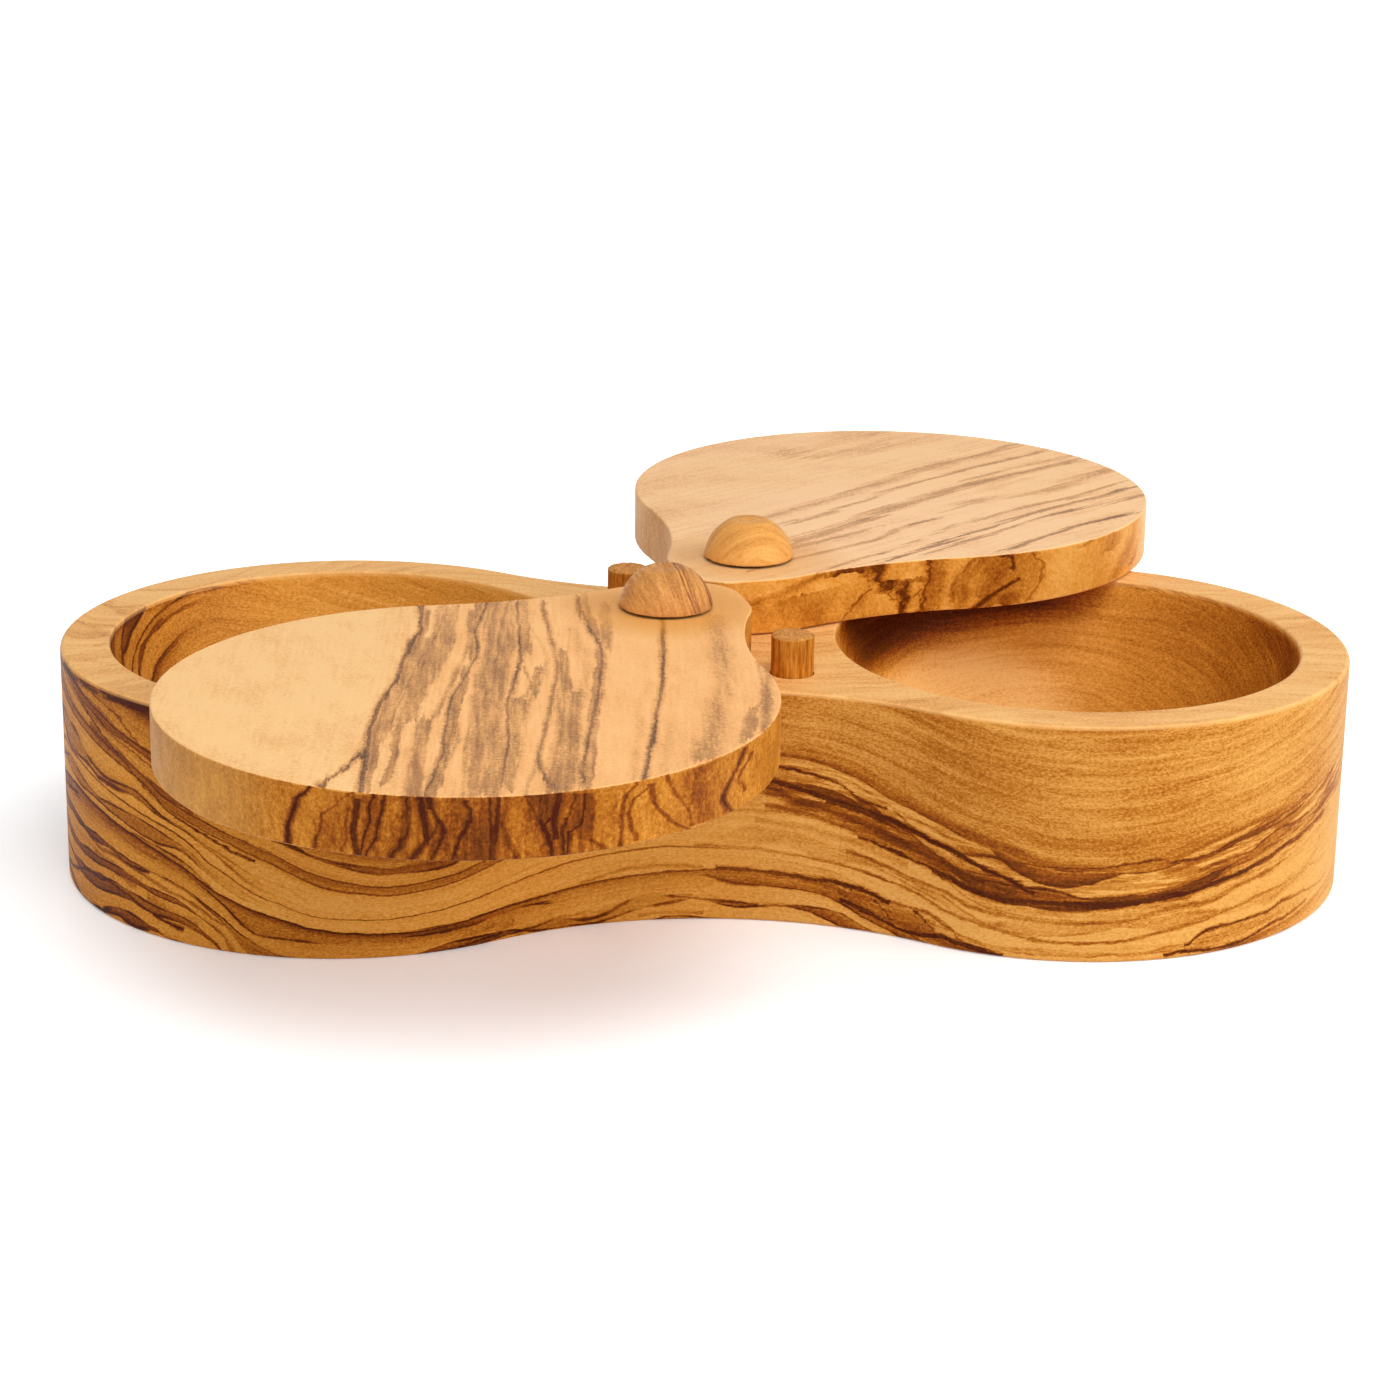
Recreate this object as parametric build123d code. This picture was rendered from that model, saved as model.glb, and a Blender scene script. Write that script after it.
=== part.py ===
"""Double salt box in solid wood: one waisted block with two round bowls, and a lid over each.

Each lid swivels on its own wooden pin, set in the waist between the bowls.  A short peg beside
each pin stops one lid as it opens and the other as it shuts.  The block is centred on the
origin and stands on z = 0, with its bowls side by side along X.  Every piece is in its place
with both lids swung open.  Lengths are in millimetres and angles in degrees.
"""
import os
from math import acos, atan2, cos, degrees, radians, sin, sqrt

from build123d import *

# Block with two bowls
LOBE_SPACING = 135.0        # from the middle of one round end to the middle of the other
LOBE_RADIUS = 52.5          # outside of a round end
WAIST_WIDTH = 64.5          # across the narrowest place, halfway between the bowls
BODY_HEIGHT = 44.0
BOWL_RIM_WIDTH = 9.0        # flat wood round a bowl's mouth
BOWL_FLOOR = 11.0           # wood left under the deepest place of a bowl
TOP_EDGE_ROUND = 0.9
FOOT_EDGE_ROUND = 0.8
BOWL_LIP_ROUND = 0.6

# Lids.  A lid is its bowl's round end plus an ear that reaches round the pivot.
PIVOT_OFFSET = 8.2          # from the middle of the block to a pivot, along the block
TIP_RADIUS = 9.3            # nose of the ear
TIP_RISE = 2.6              # how far the nose stands out from the round of the ear
TIP_ANGLE = -15.0           # way the nose points from the pivot, with the lid shut
TIP_SLOT = 1.4              # between the noses of the two lids as they pass
NECK_RADIUS = 85.0          # hollow curve from the ear to the round end
LID_THICKNESS = 10.5
LID_LIFT = 0.3              # air between the block and a lid
LID_EDGE_ROUND = 0.4
LEFT_LID_EASE_ANGLE = 27.3  # how far each lid stands short of its open stop
RIGHT_LID_EASE_ANGLE = 24.3

# Pivot pins: dowels glued in the block, each with a lid free to turn on it
PIN_RADIUS = 4.0
PIN_SEAT_DEPTH = 20.0
PIN_END_CHAMFER = 0.5
PIN_RUNNING_GAP = 0.08      # between a pin and its lid, on the radius
GLUE_GAP = 0.05             # between a glued dowel and its hole, on the radius

# Domed caps, glued on the pins
CAP_RADIUS = 8.6
CAP_HEIGHT = 7.3
CAP_FLAT_RADIUS = 3.4       # small flat left on top by the lathe
CAP_FLAT_ROUND = 0.5
CAP_FOOT_ROUND = 0.4
CAP_LIFT = 0.3              # air between a lid and its cap
CAP_SOCKET_DEPTH = 4.2
CAP_DIMPLE_RADIUS = 0.9     # mark of the lathe's centre
CAP_DIMPLE_DEPTH = 0.35

# Stop pegs, glued in the block beside the pins
PEG_RADIUS = 4.0
PEG_HEIGHT = 7.5            # above the block
PEG_SEAT_DEPTH = 14.0
PEG_END_CHAMFER = 0.6
PEG_TIP_GAP = 1.2           # between a peg and the nose that passes it
PEG_STOP_GAP = 0.4          # between a peg and a lid at either end of its travel


def direction(angle):
    """Unit vector in plan, at an angle from +X."""
    return Vector(cos(radians(angle)), sin(radians(angle)))


def opposite(point):
    """Same place on the other half of the block, half a turn round its middle."""
    return Vector(-point.X, -point.Y)


def towards(centre, radius, target):
    """Point of a circle that faces a target."""
    return centre + (target - centre).normalized() * radius


def heading(start, end):
    """Angle from +X of the way from one point to another."""
    return degrees(atan2(end.Y - start.Y, end.X - start.X))


def corner(side_a, side_b, facing):
    """Angle of a triangle between two sides, from the lengths of all three."""
    return degrees(acos((side_a**2 + side_b**2 - facing**2) / (2 * side_a * side_b)))


def meeting_point(centre_a, reach_a, centre_b, reach_b):
    """Point at given distances from two centres, on the left of the way from a to b."""
    span = centre_b - centre_a
    way = span.normalized()
    along = (span.length**2 + reach_a**2 - reach_b**2) / (2 * span.length)
    aside = sqrt(reach_a**2 - along**2)
    return centre_a + way * along + Vector(-way.Y, way.X) * aside


# Plan of the block: two round ends joined by two hollow curves
HALF_SPACING = LOBE_SPACING / 2
HALF_WAIST = WAIST_WIDTH / 2
WAIST_RADIUS = (HALF_SPACING**2 + HALF_WAIST**2 - LOBE_RADIUS**2) / (2 * (LOBE_RADIUS - HALF_WAIST))
LEFT_LOBE = Vector(-HALF_SPACING, 0)
RIGHT_LOBE = Vector(HALF_SPACING, 0)
FRONT_WAIST = Vector(0, -(HALF_WAIST + WAIST_RADIUS))
BACK_WAIST = Vector(0, HALF_WAIST + WAIST_RADIUS)

BOWL_RADIUS = LOBE_RADIUS - BOWL_RIM_WIDTH
BOWL_DEPTH = BODY_HEIGHT - BOWL_FLOOR
BOWL_CURVE = (BOWL_RADIUS**2 + BOWL_DEPTH**2) / (2 * BOWL_DEPTH)

# Centres in the plan of the left lid, shut; the right lid is the same, half a turn round.
# The ear lies against the side of the waist, and its nose stops short of the block's middle,
# so the pivot is on the curve of points that are nearer to the middle by a fixed length.
TIP_MARGIN = TIP_RISE + TIP_SLOT / 2
CURVE_HALF_WIDTH = (WAIST_RADIUS - TIP_MARGIN) / 2
CURVE_FLARE = (FRONT_WAIST.Y / 2)**2 - CURVE_HALF_WIDTH**2
LEFT_PIVOT = Vector(
    -PIVOT_OFFSET,
    FRONT_WAIST.Y / 2 + CURVE_HALF_WIDTH * sqrt(1 + PIVOT_OFFSET**2 / CURVE_FLARE),
)
RIGHT_PIVOT = opposite(LEFT_PIVOT)
EAR_RADIUS = LEFT_PIVOT.length - TIP_MARGIN
NOSE_REACH = EAR_RADIUS + TIP_RISE
NOSE = LEFT_PIVOT + direction(TIP_ANGLE) * (NOSE_REACH - TIP_RADIUS)
NECK = meeting_point(
    LEFT_LOBE, LOBE_RADIUS + NECK_RADIUS,
    LEFT_PIVOT, EAR_RADIUS + NECK_RADIUS,
)

# The front peg stands between the nose of the left lid and the neck of the right one
PEG_REACH = NOSE_REACH + PEG_TIP_GAP + PEG_RADIUS
FRONT_PEG = meeting_point(
    LEFT_PIVOT, PEG_REACH,
    opposite(NECK), NECK_RADIUS - PEG_STOP_GAP - PEG_RADIUS,
)
REAR_PEG = opposite(FRONT_PEG)

# Angle from shut at which the hollow side of the left lid comes to the front peg
OPEN_STOP = (
    heading(LEFT_PIVOT, FRONT_PEG) - heading(LEFT_PIVOT, FRONT_WAIST)
    + corner(WAIST_RADIUS + EAR_RADIUS, PEG_REACH, WAIST_RADIUS - PEG_STOP_GAP - PEG_RADIUS)
)
LEFT_LID_OPEN = OPEN_STOP - LEFT_LID_EASE_ANGLE
RIGHT_LID_OPEN = OPEN_STOP - RIGHT_LID_EASE_ANGLE

# Heights
LID_BOTTOM = BODY_HEIGHT + LID_LIFT
LID_TOP = LID_BOTTOM + LID_THICKNESS
CAP_BOTTOM = LID_TOP + CAP_LIFT
PIN_BOTTOM = BODY_HEIGHT - PIN_SEAT_DEPTH
PIN_TOP = CAP_BOTTOM + CAP_SOCKET_DEPTH
PEG_BOTTOM = BODY_HEIGHT - PEG_SEAT_DEPTH
PEG_TOP = BODY_HEIGHT + PEG_HEIGHT


def short_arc(centre, radius, start, end):
    """Arc of under half a turn round a centre."""
    return ThreePointArc(start, towards(centre, radius, (start + end) / 2), end)


def long_arc(centre, radius, start, end):
    """Arc of over half a turn round a centre."""
    return ThreePointArc(start, towards(centre, -radius, (start + end) / 2), end)


def above(point, piece):
    """Piece carried from the origin to a place in plan."""
    return Pos(point.X, point.Y) * piece


def turned(piece, angle, point):
    """Piece turned about the upright line through a place in plan."""
    return above(point, Rot(0, 0, angle) * above(opposite(point), piece))


def rod(radius, bottom, top):
    """Round bar on the upright axis."""
    return Pos(0, 0, bottom) * Cylinder(
        radius, top - bottom, align=(Align.CENTER, Align.CENTER, Align.MIN)
    )


def edges_at(solid, height):
    """Edges that lie level at a height."""
    return solid.edges().filter_by_position(Axis.Z, height - 0.001, height + 0.001)


def block_plan():
    back_left = towards(LEFT_LOBE, LOBE_RADIUS, BACK_WAIST)
    back_right = towards(RIGHT_LOBE, LOBE_RADIUS, BACK_WAIST)
    front_left = opposite(back_right)
    front_right = opposite(back_left)
    return make_face([
        long_arc(RIGHT_LOBE, LOBE_RADIUS, front_right, back_right),
        short_arc(BACK_WAIST, WAIST_RADIUS, back_right, back_left),
        long_arc(LEFT_LOBE, LOBE_RADIUS, back_left, front_left),
        short_arc(FRONT_WAIST, WAIST_RADIUS, front_left, front_right),
    ])


def lid_plan():
    """Left lid, shut: round end, side of the waist, ear with its nose, and neck."""
    half_wrap = degrees(acos((EAR_RADIUS - TIP_RADIUS) / (NOSE_REACH - TIP_RADIUS)))
    front_way = direction(TIP_ANGLE - half_wrap)
    back_way = direction(TIP_ANGLE + half_wrap)

    lobe_back = towards(LEFT_LOBE, LOBE_RADIUS, NECK)
    lobe_front = towards(LEFT_LOBE, LOBE_RADIUS, FRONT_WAIST)
    ear_front = towards(LEFT_PIVOT, EAR_RADIUS, FRONT_WAIST)
    ear_back = towards(LEFT_PIVOT, EAR_RADIUS, NECK)
    cheek_front = LEFT_PIVOT + front_way * EAR_RADIUS
    cheek_back = LEFT_PIVOT + back_way * EAR_RADIUS
    nose_front = NOSE + front_way * TIP_RADIUS
    nose_back = NOSE + back_way * TIP_RADIUS
    return make_face([
        long_arc(LEFT_LOBE, LOBE_RADIUS, lobe_back, lobe_front),
        short_arc(FRONT_WAIST, WAIST_RADIUS, lobe_front, ear_front),
        short_arc(LEFT_PIVOT, EAR_RADIUS, ear_front, cheek_front),
        Line(cheek_front, nose_front),
        short_arc(NOSE, TIP_RADIUS, nose_front, nose_back),
        Line(nose_back, cheek_back),
        short_arc(LEFT_PIVOT, EAR_RADIUS, cheek_back, ear_back),
        short_arc(NECK, NECK_RADIUS, ear_back, lobe_back),
    ])


def body():
    """Block with its bowls, and blind holes for the pins and pegs."""
    block = extrude(block_plan(), BODY_HEIGHT)
    block = fillet(edges_at(block, BODY_HEIGHT), TOP_EDGE_ROUND)
    block = fillet(edges_at(block, 0), FOOT_EDGE_ROUND)
    for lobe in (LEFT_LOBE, RIGHT_LOBE):
        block -= above(lobe, Pos(0, 0, BOWL_FLOOR + BOWL_CURVE) * Sphere(BOWL_CURVE))
    lips = [
        edge for edge in edges_at(block, BODY_HEIGHT).filter_by(GeomType.CIRCLE)
        if abs(edge.radius - BOWL_RADIUS) < 0.001
    ]
    block = fillet(lips, BOWL_LIP_ROUND)
    for pivot in (LEFT_PIVOT, RIGHT_PIVOT):
        block -= above(pivot, rod(PIN_RADIUS + GLUE_GAP, PIN_BOTTOM, BODY_HEIGHT))
    for peg in (FRONT_PEG, REAR_PEG):
        block -= above(peg, rod(PEG_RADIUS + GLUE_GAP, PEG_BOTTOM, BODY_HEIGHT))
    return block


def shut_lid():
    """Left lid over its bowl, with the hole for its pin."""
    lid = Pos(0, 0, LID_BOTTOM) * extrude(lid_plan(), LID_THICKNESS)
    lid = fillet(edges_at(lid, LID_BOTTOM) + edges_at(lid, LID_TOP), LID_EDGE_ROUND)
    return lid - above(LEFT_PIVOT, rod(PIN_RADIUS + PIN_RUNNING_GAP, LID_BOTTOM, LID_TOP))


def pin():
    """Dowel from the bottom of its hole up into its cap."""
    stick = rod(PIN_RADIUS, PIN_BOTTOM, PIN_TOP)
    return chamfer(edges_at(stick, PIN_BOTTOM) + edges_at(stick, PIN_TOP), PIN_END_CHAMFER)


def peg():
    """Dowel that stands out of the block."""
    stick = rod(PEG_RADIUS, PEG_BOTTOM, PEG_TOP)
    return chamfer(edges_at(stick, PEG_BOTTOM) + edges_at(stick, PEG_TOP), PEG_END_CHAMFER)


def cap():
    """Turned dome with a flat top, a centre mark, and a socket for its pin."""
    ball_height = (CAP_HEIGHT**2 + CAP_FLAT_RADIUS**2 - CAP_RADIUS**2) / (2 * CAP_HEIGHT)
    ball_centre = Vector(0, 0, ball_height)
    ball_radius = sqrt(CAP_RADIUS**2 + ball_height**2)
    foot = Vector(CAP_RADIUS, 0, 0)
    shoulder = Vector(CAP_FLAT_RADIUS, 0, CAP_HEIGHT)
    crown = Vector(0, 0, CAP_HEIGHT)
    dome = revolve(make_face([
        Line(Vector(0, 0, 0), foot),
        short_arc(ball_centre, ball_radius, foot, shoulder),
        Line(shoulder, crown),
        Line(crown, Vector(0, 0, 0)),
    ]))
    dome = fillet(edges_at(dome, 0), CAP_FOOT_ROUND)
    dome = fillet(edges_at(dome, CAP_HEIGHT), CAP_FLAT_ROUND)

    dimple_curve = (CAP_DIMPLE_RADIUS**2 + CAP_DIMPLE_DEPTH**2) / (2 * CAP_DIMPLE_DEPTH)
    dome -= Pos(0, 0, CAP_HEIGHT - CAP_DIMPLE_DEPTH + dimple_curve) * Sphere(dimple_curve)
    dome -= rod(PIN_RADIUS + GLUE_GAP, 0, CAP_SOCKET_DEPTH)
    return Pos(0, 0, CAP_BOTTOM) * dome


left_lid = shut_lid()
right_lid = Rot(0, 0, 180) * left_lid

pieces = {
    "body": body(),
    "left_lid": turned(left_lid, LEFT_LID_OPEN, LEFT_PIVOT),
    "right_lid": turned(right_lid, RIGHT_LID_OPEN, RIGHT_PIVOT),
    "left_pivot_pin": above(LEFT_PIVOT, pin()),
    "right_pivot_pin": above(RIGHT_PIVOT, pin()),
    "left_pivot_cap": above(LEFT_PIVOT, cap()),
    "right_pivot_cap": above(RIGHT_PIVOT, cap()),
    "front_stop_peg": above(FRONT_PEG, peg()),
    "rear_stop_peg": above(REAR_PEG, peg()),
}

os.makedirs("parts", exist_ok=True)
for node, piece in pieces.items():
    export_step(piece, f"parts/{node}.step")
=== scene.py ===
"""Dresses the double salt box: olive wood for block and lids, turned caps and fluted pegs.

Lengths in the tables and materials below are in millimetres; objects are in metres.
"""

from itertools import pairwise
from math import atan2, cos, radians, sin, sqrt, tau

import bmesh
import bpy
from bpy.props import FloatProperty, FloatVectorProperty, IntProperty, PointerProperty
from mathutils import Matrix, Vector, noise


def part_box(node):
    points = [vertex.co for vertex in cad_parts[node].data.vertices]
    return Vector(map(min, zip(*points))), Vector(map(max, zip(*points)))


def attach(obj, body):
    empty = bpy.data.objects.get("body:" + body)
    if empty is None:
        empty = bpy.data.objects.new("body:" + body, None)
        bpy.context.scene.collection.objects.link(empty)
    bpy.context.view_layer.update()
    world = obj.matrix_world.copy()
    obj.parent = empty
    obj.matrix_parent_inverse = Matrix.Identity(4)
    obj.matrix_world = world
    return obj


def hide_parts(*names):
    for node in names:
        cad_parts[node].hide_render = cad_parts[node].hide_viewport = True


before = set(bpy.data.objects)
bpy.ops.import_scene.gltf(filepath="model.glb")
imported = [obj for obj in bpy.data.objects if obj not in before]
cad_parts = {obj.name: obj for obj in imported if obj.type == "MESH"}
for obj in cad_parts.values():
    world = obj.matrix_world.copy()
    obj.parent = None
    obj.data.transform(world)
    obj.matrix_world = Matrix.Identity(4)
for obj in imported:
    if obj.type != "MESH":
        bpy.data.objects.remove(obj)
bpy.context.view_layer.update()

bl_info = {
    "name": "Double Salt Box",
    "version": (1, 0, 0),
    "blender": (4, 5, 0),
    "location": "3D View > Sidebar > Salt Box",
    "description": "Olive wood finish, turned caps and fluted pegs for a double salt box",
    "category": "Object",
}

MM = 0.001

# Shapes, in metres
DOME_STEPS = 42                # from the foot of a cap's dome to its flat
WORN_RADIUS = 4.5 * MM         # a cap is worn outside this, so its socket stays true
TORN_RADIUS = 7 * MM           # its foot is torn outside this
LIFTED_RADIUS = 7.5 * MM       # and lifted by the tears outside this
TORN_HEIGHT = 0.7 * MM         # of the torn wood at its foot
RIM_CUT = 0.22 * MM            # off the radius at the rim of a peg's ends
RIM_DROP = 0.34 * MM           # off its height there
FLOOR_REACH = 6                # from the middle of the floor to its sides
CAMERA_AIM = (-0.00117, 0, 0.03164)

# Landmarks for the wood, in millimetres
LEFT_PIVOT = (-8.2, -17.04)
RIGHT_PIVOT = (8.2, 17.04)
CAP_BOUNCE_REACH = (0.8, 4.6)        # where painted bounce light from a cap fades about its pivot, in squared centimetres
BOWL_MIDDLE = 67.5             # along the block, from its middle
BOWL_WALL = (18.4, 18.9)       # where the wood of a bowl begins, in squared centimetres
CAP_MIDDLE = 58                # height of the middle of a cap
FLAT = (0.4, 0.9)              # how far up a surface faces, from a wall's colours to a top's paler ones, partly painted light

# Runs that the tables of veins are read on: middle and half length
BLOCK_RUN = (0, 125)
LEFT_LID_RUN = (-54, 70)
RIGHT_LID_RUN = (70, 80)
LID_WALL_RUN = (49.55, 6)
VEIN_END = 0.004               # length in which a vein leaves its run, as a share of half the run
FAR = 1000                     # shrinks places across a run, so that a vector curve can hold them

# Growth layers of the block: height over the grain's level against the place along the block.
# They dip under each round end, rise at the waist, and open out at the left.
BLOCK_LAYERS = [
    [(-120, 15), (-111, 23.6), (-103, 24.5), (-90, 22.2), (-78, 16), (-60, 14), (-34, 13),
     (0, 13.6), (16, 13.2), (30, 9.6), (52, 8.5), (90, 8), (120, 5)],
    [(-120, 20), (-110, 29.8), (-102, 29.6), (-90, 26.4), (-78, 23.2), (-62, 20.3), (-45, 19.3),
     (-20, 18.9), (0, 19.5), (18, 19.6), (24, 18.8), (31, 15.6), (52, 15.1), (92, 14.6), (120, 11)],
    [(-120, 29), (-110, 35.2), (-101, 35.1), (-89, 31), (-78, 26.2), (-62, 23), (-46, 22.7),
     (-22, 24.1), (0, 23.8), (28, 23.2), (41, 22.3), (52, 19.7), (75, 19.5), (120, 19)],
    [(-120, 42), (-111, 43.2), (-96, 38.7), (-80, 34.8), (-63, 28.9), (-52, 27.6), (-38, 28.9),
     (0, 34.5), (16, 36.3), (33, 33.3), (42, 30.6), (54, 26.5), (68, 26.7), (80, 27.1), (100, 30.5),
     (120, 29)],
    [(-120, 49), (-100, 47), (-80, 41), (-60, 35.5), (-46, 34), (-25, 36), (0, 40.5), (16, 42),
     (32, 38.3), (52, 35.2), (66, 33.2), (76, 33.4), (96, 36.4), (120, 35)],
    [(-120, 60), (-90, 55), (-60, 47), (-30, 46), (16, 52), (60, 49), (120, 51)],
]

# How dark the wood is at each layer number, on the left half and the right half
BLOCK_LEFT_TONE = [
    (0, 0.14), (0.4, 0.2), (0.7, 0.34), (0.88, 0.5), (0.95, 0.66), (0.985, 1), (1.02, 0.92),
    (1.045, 0.12), (1.4, 0.04), (1.93, 0.1), (1.96, 0.78), (1.99, 0.66), (2.02, 0.06), (2.5, 0.03),
    (2.86, 0.14), (2.9, 0.8), (2.93, 0.36), (3.13, 0.42), (3.17, 0.85), (3.2, 0.2), (3.5, 0.12),
    (3.67, 0.28), (3.7, 0.75), (3.73, 0.18), (4, 0.42), (4.04, 0.8), (4.09, 0.2), (4.5, 0.36),
    (4.7, 0.74), (4.9, 0.55), (5, 0.9),
]
BLOCK_RIGHT_TONE = [
    (0, 0.1), (0.5, 0.14), (0.8, 0.36), (0.95, 0.62), (1.02, 0.5), (1.06, 0.1), (1.5, 0.04),
    (2.4, 0.04), (2.58, 0.08), (2.61, 0.4), (2.65, 0.1), (2.85, 0.12), (2.94, 0.4), (3, 0.6),
    (3.06, 0.26), (3.25, 0.2), (3.3, 0.1), (3.6, 0.05), (3.72, 0.3), (3.77, 0.1), (3.94, 0.14),
    (3.99, 0.5), (4.03, 0.4), (4.15, 0.16), (4.5, 0.12), (5, 0.1),
]

# Tables of veins: each row has a darkness, a half width, and the points that the vein goes
# through, with its place along the run and its place across

# Front of the block: places along it, and heights over the grain's level
BLOCK_VEINS = [
    (0.95, 0.5, (11, 37), (19, 35.5), (32, 34.5), (39, 33), (42, 32.9), (54, 29.5), (56, 28.1)),
    (0.8, 0.4, (27, 29.5), (42, 27.7)),
    (1, 0.5, (40, 27.8), (51, 26.1), (59, 26.7), (70, 26.5), (104, 28.9), (111, 28.2)),
    (0.8, 0.9, (59, 26.8), (84, 27.8)),
    (0.74, 1.3, (11, 35.6), (16, 33.6), (30, 31.7)),
    (0.76, 1.7, (30, 31.7), (53, 27.8)),
    (0.8, 0.9, (22, 34.7), (30, 34)),
    (0.62, 0.3, (-2, 24.1), (22, 23.5), (36, 22.4), (41, 21.2), (58, 19.5), (72, 19.6), (83, 21.2),
     (98, 22.2), (110, 20.4), (112, 19.2)),
    (0.95, 0.5, (2, 19.7), (27, 19.7), (31, 18.7)),
    (0.72, 0.35, (31, 18.7), (39, 19.4), (43, 17.9), (44, 16.4)),
    (0.95, 0.55, (24, 16.6), (34, 14), (38, 14.5), (41, 15.9), (51, 15.4)),
    (0.66, 1.5, (24, 17.9), (31, 16.7), (39, 16.5)),
    (0.56, 0.9, (16, 19.2), (30, 18.4)),
    (0.8, 0.3, (26, 19.3), (27, 16.7), (28, 15.5)),
    (0.8, 0.3, (30, 18.1), (31, 16.9), (32, 15.6)),
    (0.8, 0.35, (37, 18.7), (38, 18.2), (40, 15.9)),
    (0.6, 0.4, (25, 26.4), (35, 24.7), (42, 24.5), (46, 23.4), (59, 23.2), (74, 23.7), (80, 24.9),
     (90, 25), (94, 25.9), (102, 26.1)),
    (0.8, 0.35, (13, 40), (23, 38.6), (26, 36.4), (30, 36.3)),
    (0.6, 0.3, (33, 36.1), (34, 35.4), (35, 34.3)),
    (0.5, 0.6, (25, 40.6), (33, 39.1), (37, 37.9), (50, 36.4), (54, 35.5)),
    (0.75, 0.35, (44, 32.6), (49, 33.7), (67, 33.5), (73, 34.2), (79, 34.3), (81, 33.4), (88, 33.5),
     (106, 35.7)),
    (0.6, 0.5, (11, 32.2), (18, 31.9), (31, 29.3)),
    (0.4, 0.6, (9, 29.3), (27, 28.4), (34, 27.2)),
    (0.8, 0.35, (85, 17.4), (86, 18.4), (88, 19.3), (92, 19.3), (101, 17.9), (103, 18.2),
     (108, 16.7), (113, 14.1)),
    (0.85, 0.4, (81, 16), (83, 16.4), (95, 14.6), (101, 15), (108, 14)),
    (0.42, 1.2, (87, 17.2), (93, 17.6), (107, 15.5)),
    (0.6, 0.35, (87, 30.9), (89, 31.5), (95, 30.9), (98, 31.6), (104, 31.5), (109, 30.7)),
    (0.6, 0.25, (92, 28.5), (94, 30.2)),
    (0.4, 0.9, (91, 29.7), (104, 30.1)),
    (0.6, 0.9, (-110, 44.4), (-105, 43.6), (-99, 39.9)),
    (0.8, 0.3, (-112, 46.4), (-106, 43.8), (-96, 37.9), (-81, 33.2)),
    (0.72, 0.3, (-109, 51.1), (-105, 50.7), (-98, 45.5)),
    (0.85, 0.4, (-118, 8.2), (-114, 13.9), (-110, 16.7), (-105, 17.4), (-95, 16.1)),
    (0.65, 0.35, (-113, 22.3), (-110, 21.9), (-107, 23.3), (-101, 23.3), (-92, 22.1), (-87, 20.1)),
    (0.5, 1.1, (-100, 19.2), (-92, 17.9)),
    (0.5, 0.9, (-110, 20.1), (-106, 20.8), (-104, 20.2)),
    (0.5, 1.2, (-49, 18), (-36, 15.9)),
    (0.85, 0.45, (-46, 14.7), (-38, 14.5)),
    (0.7, 0.3, (-43, 18.9), (-42, 15.2)),
    (0.55, 0.3, (-34, 13), (-28, 13.9), (-18, 13.1), (-4, 14.7)),
    (0.5, 0.3, (-12, 11.1), (-7, 11.5), (-2, 11.1)),
    (0.65, 0.3, (-22, 19.4), (-16, 20.5), (-2, 20.1)),
]

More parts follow.
